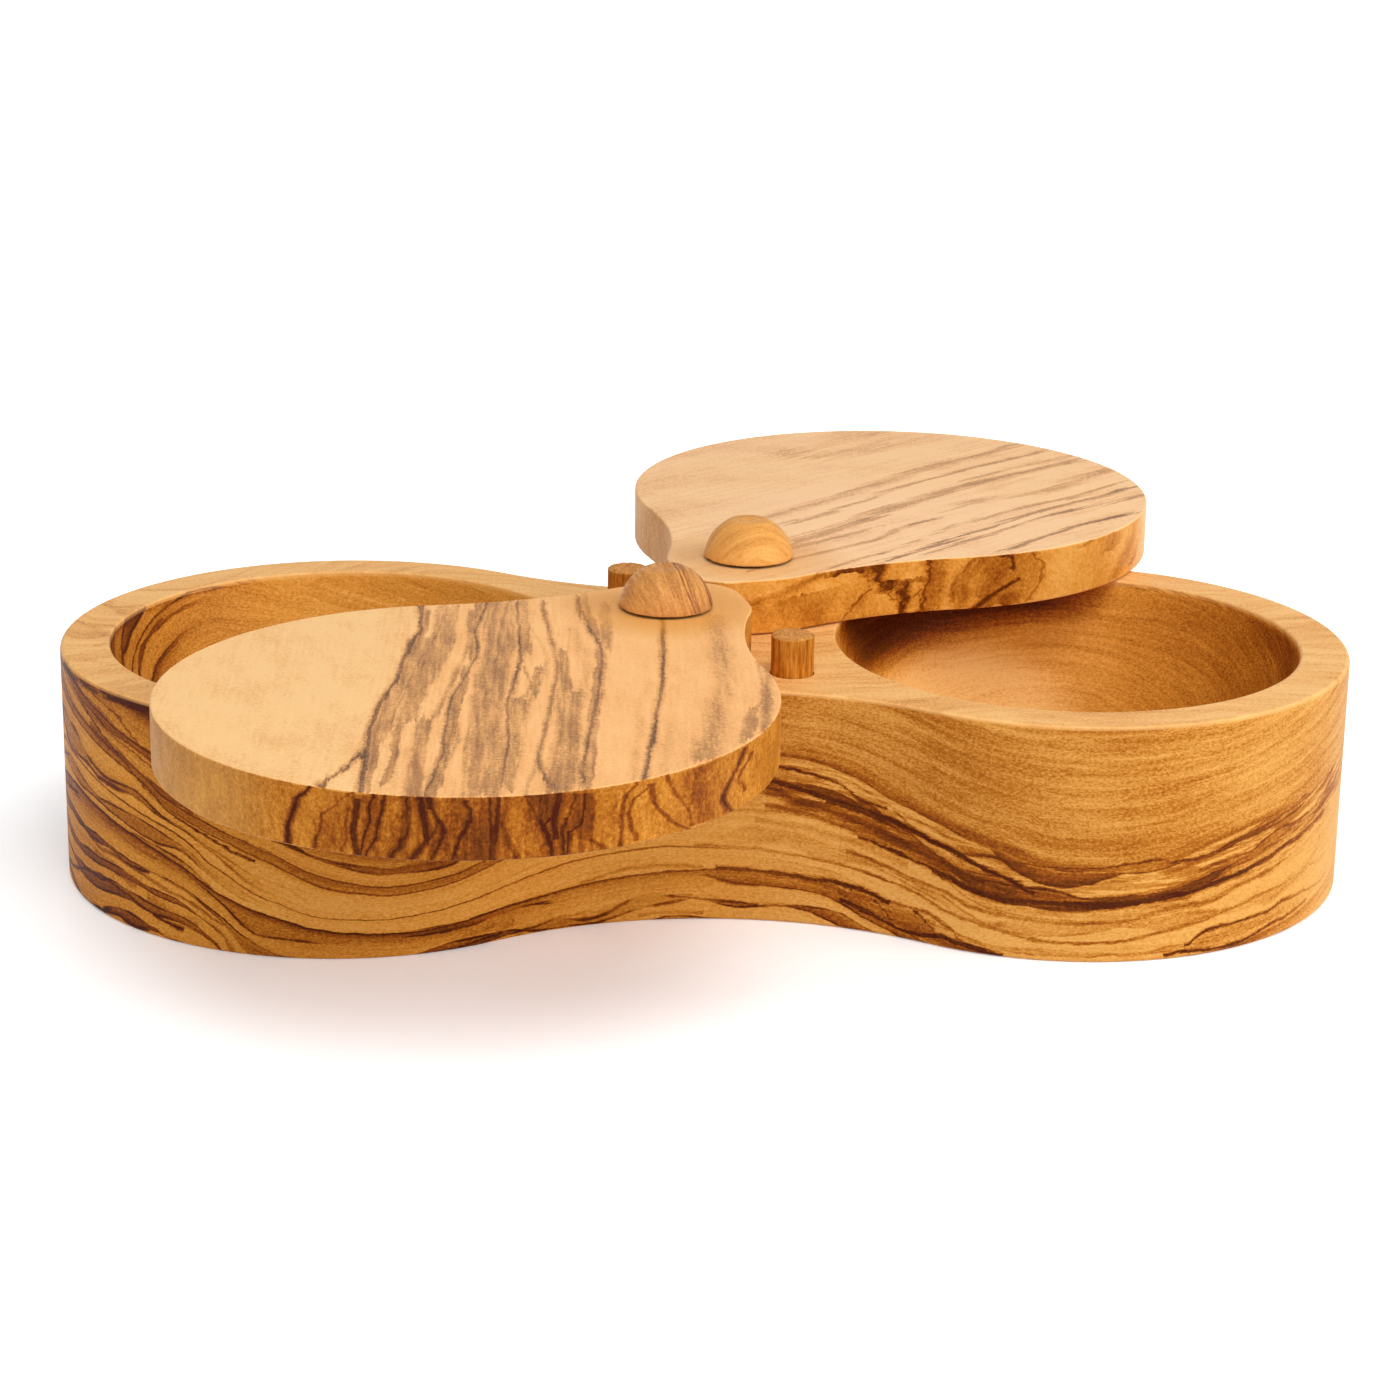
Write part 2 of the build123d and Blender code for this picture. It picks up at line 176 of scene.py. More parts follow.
# Veins and soft bands on top of the left lid: places along the grain, and across it
LEFT_LID_VEINS = [
    (0.95, 0.55, (-118, -56.8), (-87, -57.2), (-74, -56.4), (-62, -54.4), (-40, -53.1),
     (-33, -51.8), (-18, -52.5)),
    (0.9, 0.6, (-116, -63.2), (-108, -59.9), (-99, -57.2)),
    (0.8, 0.4, (-93, -56.3), (-87, -55.6), (-84, -54), (-56, -51.8), (-34, -48.7), (-23, -48.1)),
    (0.6, 0.35, (-87, -54.1), (-84, -52.2), (-60, -50), (-55, -47.6), (-52, -46.9), (-21, -46.2)),
    (0.7, 0.45, (-120, -47.8), (-88, -48.8), (-78, -46.4), (-40, -42.9), (-21, -43.4)),
    (0.6, 0.35, (-120, -49.8), (-106, -49.8), (-100, -49)),
    (0.85, 0.45, (-120, -46.9), (-98, -44.8), (-94, -45.3), (-73, -44.8), (-49, -41.5),
     (-32, -42.1), (-15, -40.7)),
    (0.5, 0.3, (-50, -41.3), (-41, -39.7), (-15, -40)),
    (0.5, 0.35, (-120, -46), (-94, -43), (-76, -44.2)),
    (0.55, 0.35, (-119, -41), (-98, -41.6), (-84, -41), (-82, -39.4), (-71, -36.3), (-63, -35.8)),
    (0.85, 0.5, (-116, -35.4), (-94, -34.7), (-75, -35.5), (-48, -33.8), (-16, -35.2)),
    (0.6, 0.3, (-76, -35.2), (-68, -32), (-63, -31.8), (-51, -33.7)),
    (0.4, 0.9, (-49, -32.7), (-14, -33.8)),
    (0.45, 0.6, (-115, -33.7), (-75, -32.1), (-57, -29.5)),
    (0.45, 0.3, (-59, -30), (-49, -29.1), (-33, -32)),
    (0.8, 0.45, (-116, -26.8), (-110, -29), (-103, -29.9), (-60, -27.4), (-51, -27.5),
     (-16, -30.5)),
    (0.5, 0.3, (-82, -28), (-74, -27.1), (-69, -27.3)),
    (0.5, 0.3, (-119, -31.7), (-104, -30.1)),
    (0.45, 0.5, (-117, -24.9), (-91, -23.5)),
    (0.85, 0.6, (-113, -22.7), (-109, -23.1), (-65, -20.2), (-47, -19.8), (-42, -20), (-19, -23.8),
     (-12, -24.2)),
    (0.6, 0.3, (-45, -19.5), (-9, -23.1)),
    (0.3, 0.9, (-69, -23.5), (-56, -21.9), (-31, -25.1)),
    (0.55, 0.3, (-116, -22), (-107, -21.4), (-102, -22.2)),
    (0.9, 0.5, (-112, -13.2), (-67, -9.8), (-44, -9), (-22, -9.2)),
    (0.5, 0.3, (-93, -11.8), (-79, -11.5), (-60, -9.8), (-35, -9.7)),
    (0.3, 0.7, (-113, -14.8), (-74, -13.4), (-63, -11.7)),
    (0.26, 0.8, (-109, -10.3), (-65, -7.7)),
    (0.56, 1.6, (-101, -3.6), (-61, 1), (-24, 0.7)),
    (0.6, 0.4, (-93, 2.8), (-81, 3.9), (-77, 4.9), (-75, 6.3), (-65, 7.6), (-51, 7)),
    (0.75, 0.7, (-87, 6.6), (-57, 8.5)),
]
LEFT_LID_BANDS = [
    (0.4, 1.9, (-94, -56.6), (-39, -49.9)),
    (0.5, 0.8, (-118, -56), (-85, -56.2), (-31, -51.3), (-23, -51.7)),
    (0.42, 2.1, (-82, -52.4), (-38, -47.5), (-20, -47.9)),
    (0.38, 0.7, (-114, -53), (-87, -52.5)),
    (0.42, 1.15, (-120, -48.7), (-84, -48.8)),
    (0.45, 0.8, (-48, -42.4), (-16, -42.3)),
    (0.4, 0.9, (-119, -45.9), (-57, -42.9)),
    (0.36, 3.1, (-119, -37.9), (-62, -38.6), (-38, -37.3), (-14, -38.3)),
    (0.45, 1.2, (-44, -33.2), (-16, -34.5)),
    (0.42, 1.4, (-116, -34.7), (-74, -33.7)),
    (0.36, 0.9, (-67, -31.4), (-55, -30.6)),
    (0.36, 2.3, (-117, -26.3), (-69, -24.9)),
    (0.34, 1.1, (-71, -25.4), (-46, -26.6)),
    (0.42, 0.9, (-116, -22.3), (-44, -20)),
    (0.36, 0.7, (-34, -20.7), (-12, -23.2)),
    (0.34, 1.2, (-90, 3.9), (-79, 5)),
    (0.3, 1.4, (-42, -19.1), (-17, -19.1)),
]

# Front wall of the left lid: heights, and places across the grain
LEFT_LID_WALL_VEINS = [
    (0.9, 0.4, (45.1, -68.5), (47.4, -68.4), (52.4, -66.7), (54.7, -64.6)),
    (0.75, 0.28, (45.1, -64.1), (48.1, -63), (50.4, -62.8), (52.4, -60.5), (53.5, -59.7),
     (54.5, -58.1)),
    (0.75, 0.25, (45.3, -59.7), (46.7, -59), (50, -59.3), (52, -58.5)),
    (0.5, 2.2, (44.8, -61.1), (49.9, -60.1), (53.8, -58.1)),
    (1, 0.5, (44.8, -57.5), (48.2, -58.1), (53.1, -57.2)),
    (0.9, 0.25, (44.9, -56.9), (47.9, -56.4), (50.1, -55.4), (53.2, -55.3), (54.2, -54.7)),
    (0.58, 0.9, (46.2, -56.7), (53.6, -56)),
    (0.85, 0.35, (44.6, -56.1), (48, -54.5), (54.4, -52.9)),
    (0.82, 0.5, (45, -52.2), (46.2, -51.1), (47.4, -50.6), (48.4, -49.5), (54.6, -49.8)),
    (0.97, 0.5, (44.4, -49.1), (47.7, -46.6), (54.7, -47.6)),
    (0.85, 0.7, (53.3, -46.1), (54.1, -46.4)),
    (0.95, 0.35, (44.5, -46), (48.1, -44.3), (49.6, -44.2), (53.3, -46), (54.7, -46.1)),
    (0.8, 0.25, (47.4, -46.3), (50.1, -45.1)),
    (0.75, 0.4, (45.3, -46), (46.8, -45.7), (47.8, -44.9)),
    (0.88, 0.45, (44.6, -42.7), (48.6, -41.4), (51.1, -40), (52.7, -40), (53.7, -40.6)),
    (0.55, 3, (44.5, -39.4), (54.8, -38)),
    (0.88, 0.35, (44.5, -36.8), (54.7, -37.1)),
    (0.85, 0.65, (44.5, -36.5), (49.7, -36.5)),
    (0.92, 0.4, (47.4, -36.2), (54.7, -35.7)),
    (0.75, 0.3, (44.6, -33), (48.5, -34.4), (49.6, -35.2), (54.6, -34.5)),
    (0.7, 0.25, (50.1, -29.4), (54.5, -31.6)),
    (0.97, 0.4, (44.3, -27.4), (47.5, -28.1), (50.1, -29.2)),
    (0.62, 1.5, (51.1, -28.4), (54.3, -29.5)),
    (0.95, 0.5, (47.7, -26.9), (50.4, -27.2), (54.7, -26.3)),
    (0.95, 0.35, (46.8, -27.7), (48.9, -28.6), (49.8, -28.6), (50.3, -28)),
    (0.95, 0.35, (44.3, -25.8), (48.6, -25.8), (50, -25.4)),
    (0.85, 0.3, (44.4, -25.2), (47.8, -24.9)),
    (0.8, 0.22, (48.9, -25.7), (53.7, -23.9)),
    (0.52, 0.8, (49.2, -24.1), (53.6, -23.2)),
    (0.9, 0.28, (46.8, -25.1), (48, -24.8), (49.2, -22.9), (53.5, -22.3)),
    (0.7, 0.35, (45, -19.5), (46.8, -22.1), (50.4, -21.4), (53.4, -21.4)),
    (0.6, 0.6, (47.3, -22.3), (53.5, -21.9)),
    (0.75, 0.25, (44.5, -16.8), (51.1, -16.7), (52.9, -16), (54.1, -14.3)),
    (0.75, 0.25, (45.5, -14.5), (47.5, -15.3), (49.6, -15.6), (51.9, -14.9), (53.3, -12.4)),
    (0.75, 0.25, (44.3, -5.9), (46.4, -8.8), (48.1, -10), (50.6, -11.6), (53.1, -12.1)),
    (0.65, 0.25, (45.5, -5.6), (48.1, -6.3), (51.4, -8.4), (54.2, -9.6)),
    (0.5, 1.2, (45.4, -4.3), (52.5, -5.5), (53.8, -4.4)),
    (0.8, 0.35, (44.4, 1), (47.1, -0.4), (48.9, 0.1), (53.8, 3.1)),
    (0.75, 0.25, (47.3, 3.2), (49.4, 1.9), (50.7, 2.6), (52.2, 4.3)),
]

# Streaks on top of the right lid, and the paler ones between them: places along and across
RIGHT_LID_VEINS = [
    (0.64, 0.5, (35, -11.5), (41, -12.3), (62, -9.2), (69, -9.4), (80, -7.8), (98, -7.5),
     (106, -8.4), (115, -7.3), (118, -7.7)),
    (0.5, 0.4, (51, -14), (81, -10.8), (90, -10.9), (112, -13.6)),
    (0.64, 0.5, (60, -22.1), (84, -19.8), (102, -20.6)),
    (0.44, 0.4, (16, -0.2), (25, 0.6), (41, -0.6), (63, 2.7), (66, 2.4)),
    (0.36, 0.4, (26, -8.9), (32, -7.4), (40, -8.3), (56, -5.6), (73, -1.2)),
    (0.46, 1, (32, 9.2), (52, 10.2), (68, 14), (78, 14.3), (90, 16.8), (126, 14.7)),
    (0.32, 1.2, (30, 6.2), (48, 5.5)),
    (0.36, 0.5, (34, 12), (51, 12.7), (73, 16.6), (82, 16.9)),
    (0.42, 0.6, (39, 20.3), (46, 19), (55, 19.4), (76, 24.1), (97, 25.5), (128, 25.1)),
    (0.34, 1.3, (44, 25.7), (65, 27), (71, 28.9), (86, 30.1), (98, 32.4), (102, 31.4)),
    (0.32, 0.9, (105, 32.5), (110, 31.4), (125, 32.9)),
    (0.3, 1.3, (78, 6.5), (84, 6.4), (92, 3.3), (100, 2.4), (124, 4.9)),
    (0.38, 0.6, (72, -4.1), (84, -3), (93, -3.4), (100, -4.7), (119, -3.7)),
    (0.32, 0.9, (94, 20.2), (98, 19.2), (113, 19.8), (126, 18.6)),
    (0.2, 2.4, (83, 61.9), (85, 57.8), (88, 54.4), (94, 52), (103, 50.9)),
]
RIGHT_LID_PALE = [
    (0.22, 1, (39, 13.9), (82, 20.6), (107, 20.8)),
    (0.2, 1.3, (84, 0.6), (117, -1.1)),
    (0.2, 1.6, (46, -6.2), (59, -2.6), (83, 0)),
    (0.2, 1.2, (63, -17.2), (83, -15.7), (101, -16.6)),
    (0.24, 1.5, (76, 56.3), (80, 52.3)),
]

# Figures on the front wall of the right lid: heights, and places along the box
RIGHT_LID_WALL_VEINS = [
    (0.62, 1.6, (50.4, 7.9), (51.3, 13.2), (52.7, 15.9), (54.5, 23.4)),
    (0.5, 6, (44.5, 22), (51, 16)),
    (1, 3.6, (54.2, 27.2), (54.6, 27.2)),
    (1, 1.3, (53.2, 32.4), (54.6, 32.5)),
    (0.97, 0.85, (51.4, 32.6), (53, 32.4)),
    (0.95, 0.6, (49.7, 34), (51.6, 32.8)),
    (0.88, 1.5, (49.8, 35), (50.9, 35)),
    (0.7, 4.2, (50.7, 38.2)),
    (0.96, 0.65, (44.3, 37.8), (49.9, 38)),
    (0.75, 0.25, (47.4, 36.9), (48.5, 35.9), (49.7, 35.6)),
    (0.8, 0.35, (44.6, 26.1), (48, 28.6), (48.9, 29.5), (49.5, 30.9)),
    (0.45, 0.9, (44.4, 27.1), (48.2, 29.7)),
    (0.6, 1.9, (49.1, 34.1)),
    (0.88, 0.5, (44.8, 41.5), (48.7, 42), (52.6, 43.4), (54.8, 43)),
    (0.62, 1.5, (44.6, 43.1), (51.5, 44.1), (54.5, 43.9)),
    (0.72, 0.25, (46.9, 44.8), (53.9, 45.2)),
    (0.75, 0.25, (47.3, 39.5), (48.4, 40.8)),
    (0.62, 0.5, (44.9, 48.7), (45.9, 47.8), (49.1, 47.9), (50.5, 48.6), (52.8, 50.5), (53.9, 51.6),
     (54.6, 53.2)),
    (0.5, 1.4, (45.2, 49.6), (48.8, 49.3), (50.6, 50), (52.1, 50.9), (54.3, 54)),
    (0.45, 2.2, (47, 55.1), (53.7, 56.8)),
    (0.95, 0.75, (51.7, 59.3), (52.8, 59.5), (54.8, 58.2)),
    (0.85, 1.5, (54.6, 57.8)),
    (0.95, 0.85, (44.4, 52.2), (47.2, 56.1), (49.8, 61.3)),
    (0.5, 2.6, (45.8, 59.6), (47.2, 61.2), (49.1, 62.1), (54.1, 61.1)),
    (0.72, 0.4, (45, 63.1), (46.1, 63.5), (48, 65.5), (50.3, 65.2), (52.2, 65.9), (54.6, 63.5)),
    (0.6, 2.4, (44.8, 57.2), (46.3, 58.4)),
    (0.5, 0.8, (54, 74.7), (54.6, 76.2)),
    (0.38, 1.2, (51.6, 80.8), (53.1, 81.2), (54.8, 80.6)),
    (0.85, 0.5, (46.2, 86.3), (47, 87.4), (49.9, 88.1), (51.4, 89), (54.8, 89.2)),
    (0.45, 1, (45.2, 82), (52.5, 87.3), (54.5, 87.4)),
]


def arithmetic(operation):
    """Methods of an operation: for a wire as its first term, and as its second."""
    return (lambda wire, other: wire.calculate(operation, wire, other),
            lambda wire, other: wire.calculate(operation, other, wire))


class Wire:
    """One value inside a material.  Arithmetic on it adds the nodes that work it out."""

    __add__, __radd__ = arithmetic("ADD")
    __sub__, __rsub__ = arithmetic("SUBTRACT")
    __mul__, __rmul__ = arithmetic("MULTIPLY")
    __truediv__, __rtruediv__ = arithmetic("DIVIDE")
    __pow__, _ = arithmetic("POWER")
    at_least, _ = arithmetic("MAXIMUM")
    at_most, _ = arithmetic("MINIMUM")
    above, _ = arithmetic("GREATER_THAN")

    def __init__(self, recipe, socket):
        self.recipe = recipe
        self.socket = socket

    @property
    def is_vector(self):
        return self.socket.type == "VECTOR"

    def calculate(self, operation, *terms):
        """Adds a maths node, which works on vectors if one of its terms is a vector."""
        on_vectors = any(getattr(term, "is_vector", isinstance(term, tuple)) for term in terms)
        kind = "ShaderNodeVectorMath" if on_vectors else "ShaderNodeMath"
        return self.recipe.add(kind, dict(enumerate(terms)), operation=operation)

    def __abs__(self):
        return self.calculate("ABSOLUTE", self)

    def fraction(self):
        return self.calculate("FRACT", self)

    def off_whole(self):
        """How far a value is from the nearest whole number."""
        return self.calculate("PINGPONG", self, 0.5)

    def between(self, low, high):
        """0 up to low, 1 from high, and a smooth step from one to the other."""
        return self.recipe.add(
            "ShaderNodeMapRange", {"Value": self, "From Min": low, "From Max": high},
            interpolation_type="SMOOTHSTEP",
        )

    def fading(self, low, high):
        """1 up to low, 0 from high, and a smooth step from one to the other."""
        return 1 - self.between(low, high)

    def parts(self):
        """X, Y and Z of a vector."""
        return [self.recipe.add("ShaderNodeSeparateXYZ", {0: self}, out=axis) for axis in "XYZ"]

    def graph(self, points):
        """Reads a smooth graph, given as (place, height) points."""
        places, heights = zip(*points)
        start, end, low, high = places[0], places[-1], min(heights), max(heights)
        curve = [((p - start) / (end - start), (h - low) / (high - low)) for p, h in points]
        reading = self.recipe.add(
            "ShaderNodeFloatCurve", {"Value": (self - start) / (end - start)}, graphs=[curve])
        return reading * (high - low) + low

    def tone(self, stops):
        """Reads a ramp of grey stops, given as (place, tone)."""
        start, end = stops[0][0], stops[-1][0]
        ramp = [((p - start) / (end - start), (t, t, t, 1)) for p, t in stops]
        return self.recipe.add(
            "ShaderNodeValToRGB", {"Fac": (self - start) / (end - start)}, stops=ramp)

    def colour(self, stops):
        """Reads a ramp of colours, given as (place, (red, green, blue))."""
        ramp = [(place, (*colour, 1)) for place, colour in stops]
        return self.recipe.add("ShaderNodeValToRGB", {"Fac": self}, stops=ramp)


class Recipe:
    """One node tree under construction."""

    def __init__(self, tree):
        self.tree = tree
        self.nodes = tree.nodes
        self.nodes.clear()

    def add(self, kind, inputs=None, out=0, graphs=(), stops=None, handle="AUTO", **settings):
        """Adds a node: its settings first, then the values or wires of its sockets."""
        node = self.nodes.new(kind)
        for name, value in settings.items():
            setattr(node, name, value)
        if graphs:
            for curve, graph in zip(node.mapping.curves, graphs):
                for _ in graph[2:]:
                    curve.points.new(0.5, 0.5)
                for point, place in zip(curve.points, graph):
                    point.location = place
                    point.handle_type = handle
            node.mapping.update()
        if stops:
            while len(node.color_ramp.elements) < len(stops):
                node.color_ramp.elements.new(1)
            for element, (place, colour) in zip(node.color_ramp.elements, stops):
                element.position = place
                element.color = colour
        for key, value in (inputs or {}).items():
            self.plug(node.inputs[key], value)
        return Wire(self, node.outputs[out]) if node.outputs else None

    def plug(self, socket, value):
        if isinstance(value, Wire):
            self.tree.links.new(value.socket, socket)
        elif socket.type == "VECTOR" and not isinstance(value, tuple):
            socket.default_value = (value, value, value)
        else:
            socket.default_value = value

    def seen(self):
        """1 for what the camera sees, straight or in a reflection."""
        straight, mirrored = (
            self.add("ShaderNodeLightPath", out=f"Is {ray} Ray") for ray in ("Camera", "Glossy"))
        return straight.at_least(mirrored)


class Finish(Recipe):
    """One procedural material under construction."""

    def __init__(self, name):
        self.material = bpy.data.materials.new(name)
        self.material.use_nodes = True
        super().__init__(self.material.node_tree)

    def surface(self):
        """Place on the object in millimetres, whole and in parts, and how far it faces up.

        That is 1 on a flat top, 0 on a wall and -1 on a flat underside.
        """
        place = self.add("ShaderNodeTexCoord", out="Object") * 1000
        return place, *place.parts(), self.add("ShaderNodeTexCoord", out="Normal").parts()[2]

    def oiled(self, colour, roughness, bump, strength=0.3):
        """Ends the material in an oiled wood surface."""
        normal = self.add("ShaderNodeBump", {
            "Height": bump, "Strength": strength, "Distance": 0.1 * MM})
        surface = self.add("ShaderNodeBsdfPrincipled", {
            "Base Color": colour, "Roughness": roughness, "Normal": normal,
            "IOR": 1.48, "Specular IOR Level": 0.08,
        })
        self.add("ShaderNodeOutputMaterial", {"Surface": surface})
        return self.material

    def planed(self, colour, fibre, speck, ripple=0):
        """Ends the material in oiled wood whose fibres and pores stand out a little."""
        roughness = 0.46 + 0.2 * fibre + 0.2 * speck
        return self.oiled(colour, roughness, fibre * 0.6 + speck * 0.5 + ripple * 0.3)


def vector(x, y, z):
    return x.recipe.add("ShaderNodeCombineXYZ", {"X": x, "Y": y, "Z": z})


def mix(first, second, share):
    """Blends a colour with a second one: a wire, or red, green and blue."""
    second = second if isinstance(second, Wire) else (*second, 1)
    return first.recipe.add(
        "ShaderNodeMix", {6: first, 7: second, 0: share}, out=2, data_type="RGBA")


def clouds(place, detail=2, rough=0.5):
    """Cloudy noise from 0 to 1."""
    return place.recipe.add("ShaderNodeTexNoise", {
        "Vector": place, "Scale": 1, "Detail": detail, "Roughness": rough})


def waver(place, detail=2, rough=0.5):
    """Cloudy noise from -0.5 to 0.5."""
    return clouds(place, detail, rough) - 0.5


def streaks(x, y, z):
    """Crisp noise from 0 to 1, in streaks along the coordinate that changes slowest."""
    return clouds(vector(x, y, z), 4, 0.66).between(0.28, 0.72)


def spot(x, y, centre, reach, fade=(0.3, 1.2)):
    """Soft oval mask, which fades between two squares of the distance in reaches."""
    across, up = (x - centre[0]) / reach[0], (y - centre[1]) / reach[1]
    return (across * across + up * up).fading(*fade)


def braid(layer, along, aside, count, wander, width=0.07):
    """Two sets of lines that wander along the layers, and the leaves that they enclose."""
    ways = []
    for seed in (0, 41):
        drift = waver(vector(along, aside, layer * 0.4 + seed))
        ways.append(layer * count + drift * wander)
    first, second = ways
    wear = clouds(vector(along * 4, aside * 4, layer * 2)).between(0.34, 0.62)
    nearest = first.off_whole().at_most(second.off_whole())
    line = nearest.fading(0, width + wear * 0.08) * (0.45 + 0.55 * wear)
    leaf = abs((first * 0.5).fraction().above(0.5) - (second * 0.5).fraction().above(0.5))
    fade = (1 - first.fraction()) ** 3
    return line, leaf, fade


def veins(along, across, table, run, soft=2.4, past=2.5):
    """Darkest of a table of veins on a run, given by its middle and half length.

    Each vein fades out at soft times its half width, and goes on for a little past its ends.
    Three veins share each node: one on each axis.
    """
    middle, reach = run
    past /= reach
    place = (along - middle) / reach
    place = vector(place, place, place)
    across = vector(across, across, across) / FAR
    dark = None
    for index in range(0, len(table), 3):
        group = (table[index:index + 3] * 3)[:3]
        graphs = []
        for _, _, *points in group:
            path = [((a - middle) / reach, b / FAR) for a, b in points]
            (first, enter), (last, leave) = path[0], path[-1]
            first, last = first - past, last + past
            graphs.append([(-1, 1), (first - VEIN_END, 1), (first, enter), *path,
                           (last, leave), (last + VEIN_END, 1), (1, 1)])
        centre = place.recipe.add(
            "ShaderNodeVectorCurve", {"Vector": place}, graphs=graphs, handle="VECTOR")
        widths = [width / FAR for _, width, *_ in group]
        mask = place.recipe.add("ShaderNodeMapRange", {
            6: abs(across - centre),
            7: tuple(width * 0.1 for width in widths),
            8: tuple(width * soft for width in widths),
            9: tuple(tone for tone, *_ in group), 10: (0, 0, 0),
        }, out=1, data_type="FLOAT_VECTOR", interpolation_type="SMOOTHSTEP")
        dark = mask if dark is None else dark.at_least(mask)
    first, second, third = dark.parts()
    return first.at_least(second).at_least(third)


def inked(lines, streak, skirt, core=(0.62, 0.88)):
    """Tone of veins: a crisp dark core, and a brown skirt that streaks wear away."""
    brown = lines * (skirt + 0.35 * streak)
    return brown.at_least(lines.between(*core) * (0.82 + 0.16 * streak))


def highlit_edge(facing):
    """Mask of the rounded edges, where a surface turns from upright to flat, for a painted
    highlight.
    """
    facing = abs(facing)
    return facing.between(0.15, 0.4) * facing.fading(0.86, 0.98)


def layer_number(height, along, layers):
    """How many growth layers lie below a point, counted smoothly from one to the next."""
    levels = [along.graph(layer) for layer in layers]
    number = None
    for index, (lower, upper) in enumerate(pairwise(levels)):
        step = (height - lower) / (upper - lower)
        if index > 0:
            step = step.at_least(0)
        if index < len(levels) - 2:
            step = step.at_most(1)
        number = step if number is None else number + step
    return number


def wood_colour(tone, top, wood):
    """Colour of olive wood from its tone: 0 is sapwood, 1 the black line of a vein."""
    # Walls read the wall ramp and tops the flat one: the tops' paler colours and greyer veins are
    # partly painted light and sheen, partly end grain on the walls soaking up more oil
    wall = tone.colour([
        (0, wood.pale), (0.2, wood.gold), (0.42, wood.amber),
        (0.6, wood.brown), (0.8, [c * 0.42 for c in wood.brown]), (1, wood.vein),
    ])
    flat = tone.colour([
        (0, wood.cream), (0.2, wood.peach), (0.45, wood.tan),
        (0.65, wood.grey), (0.82, [c * 0.45 for c in wood.grey]),
        (1, [c * 0.26 for c in wood.grey]),
    ])
    return mix(wall, flat, top)


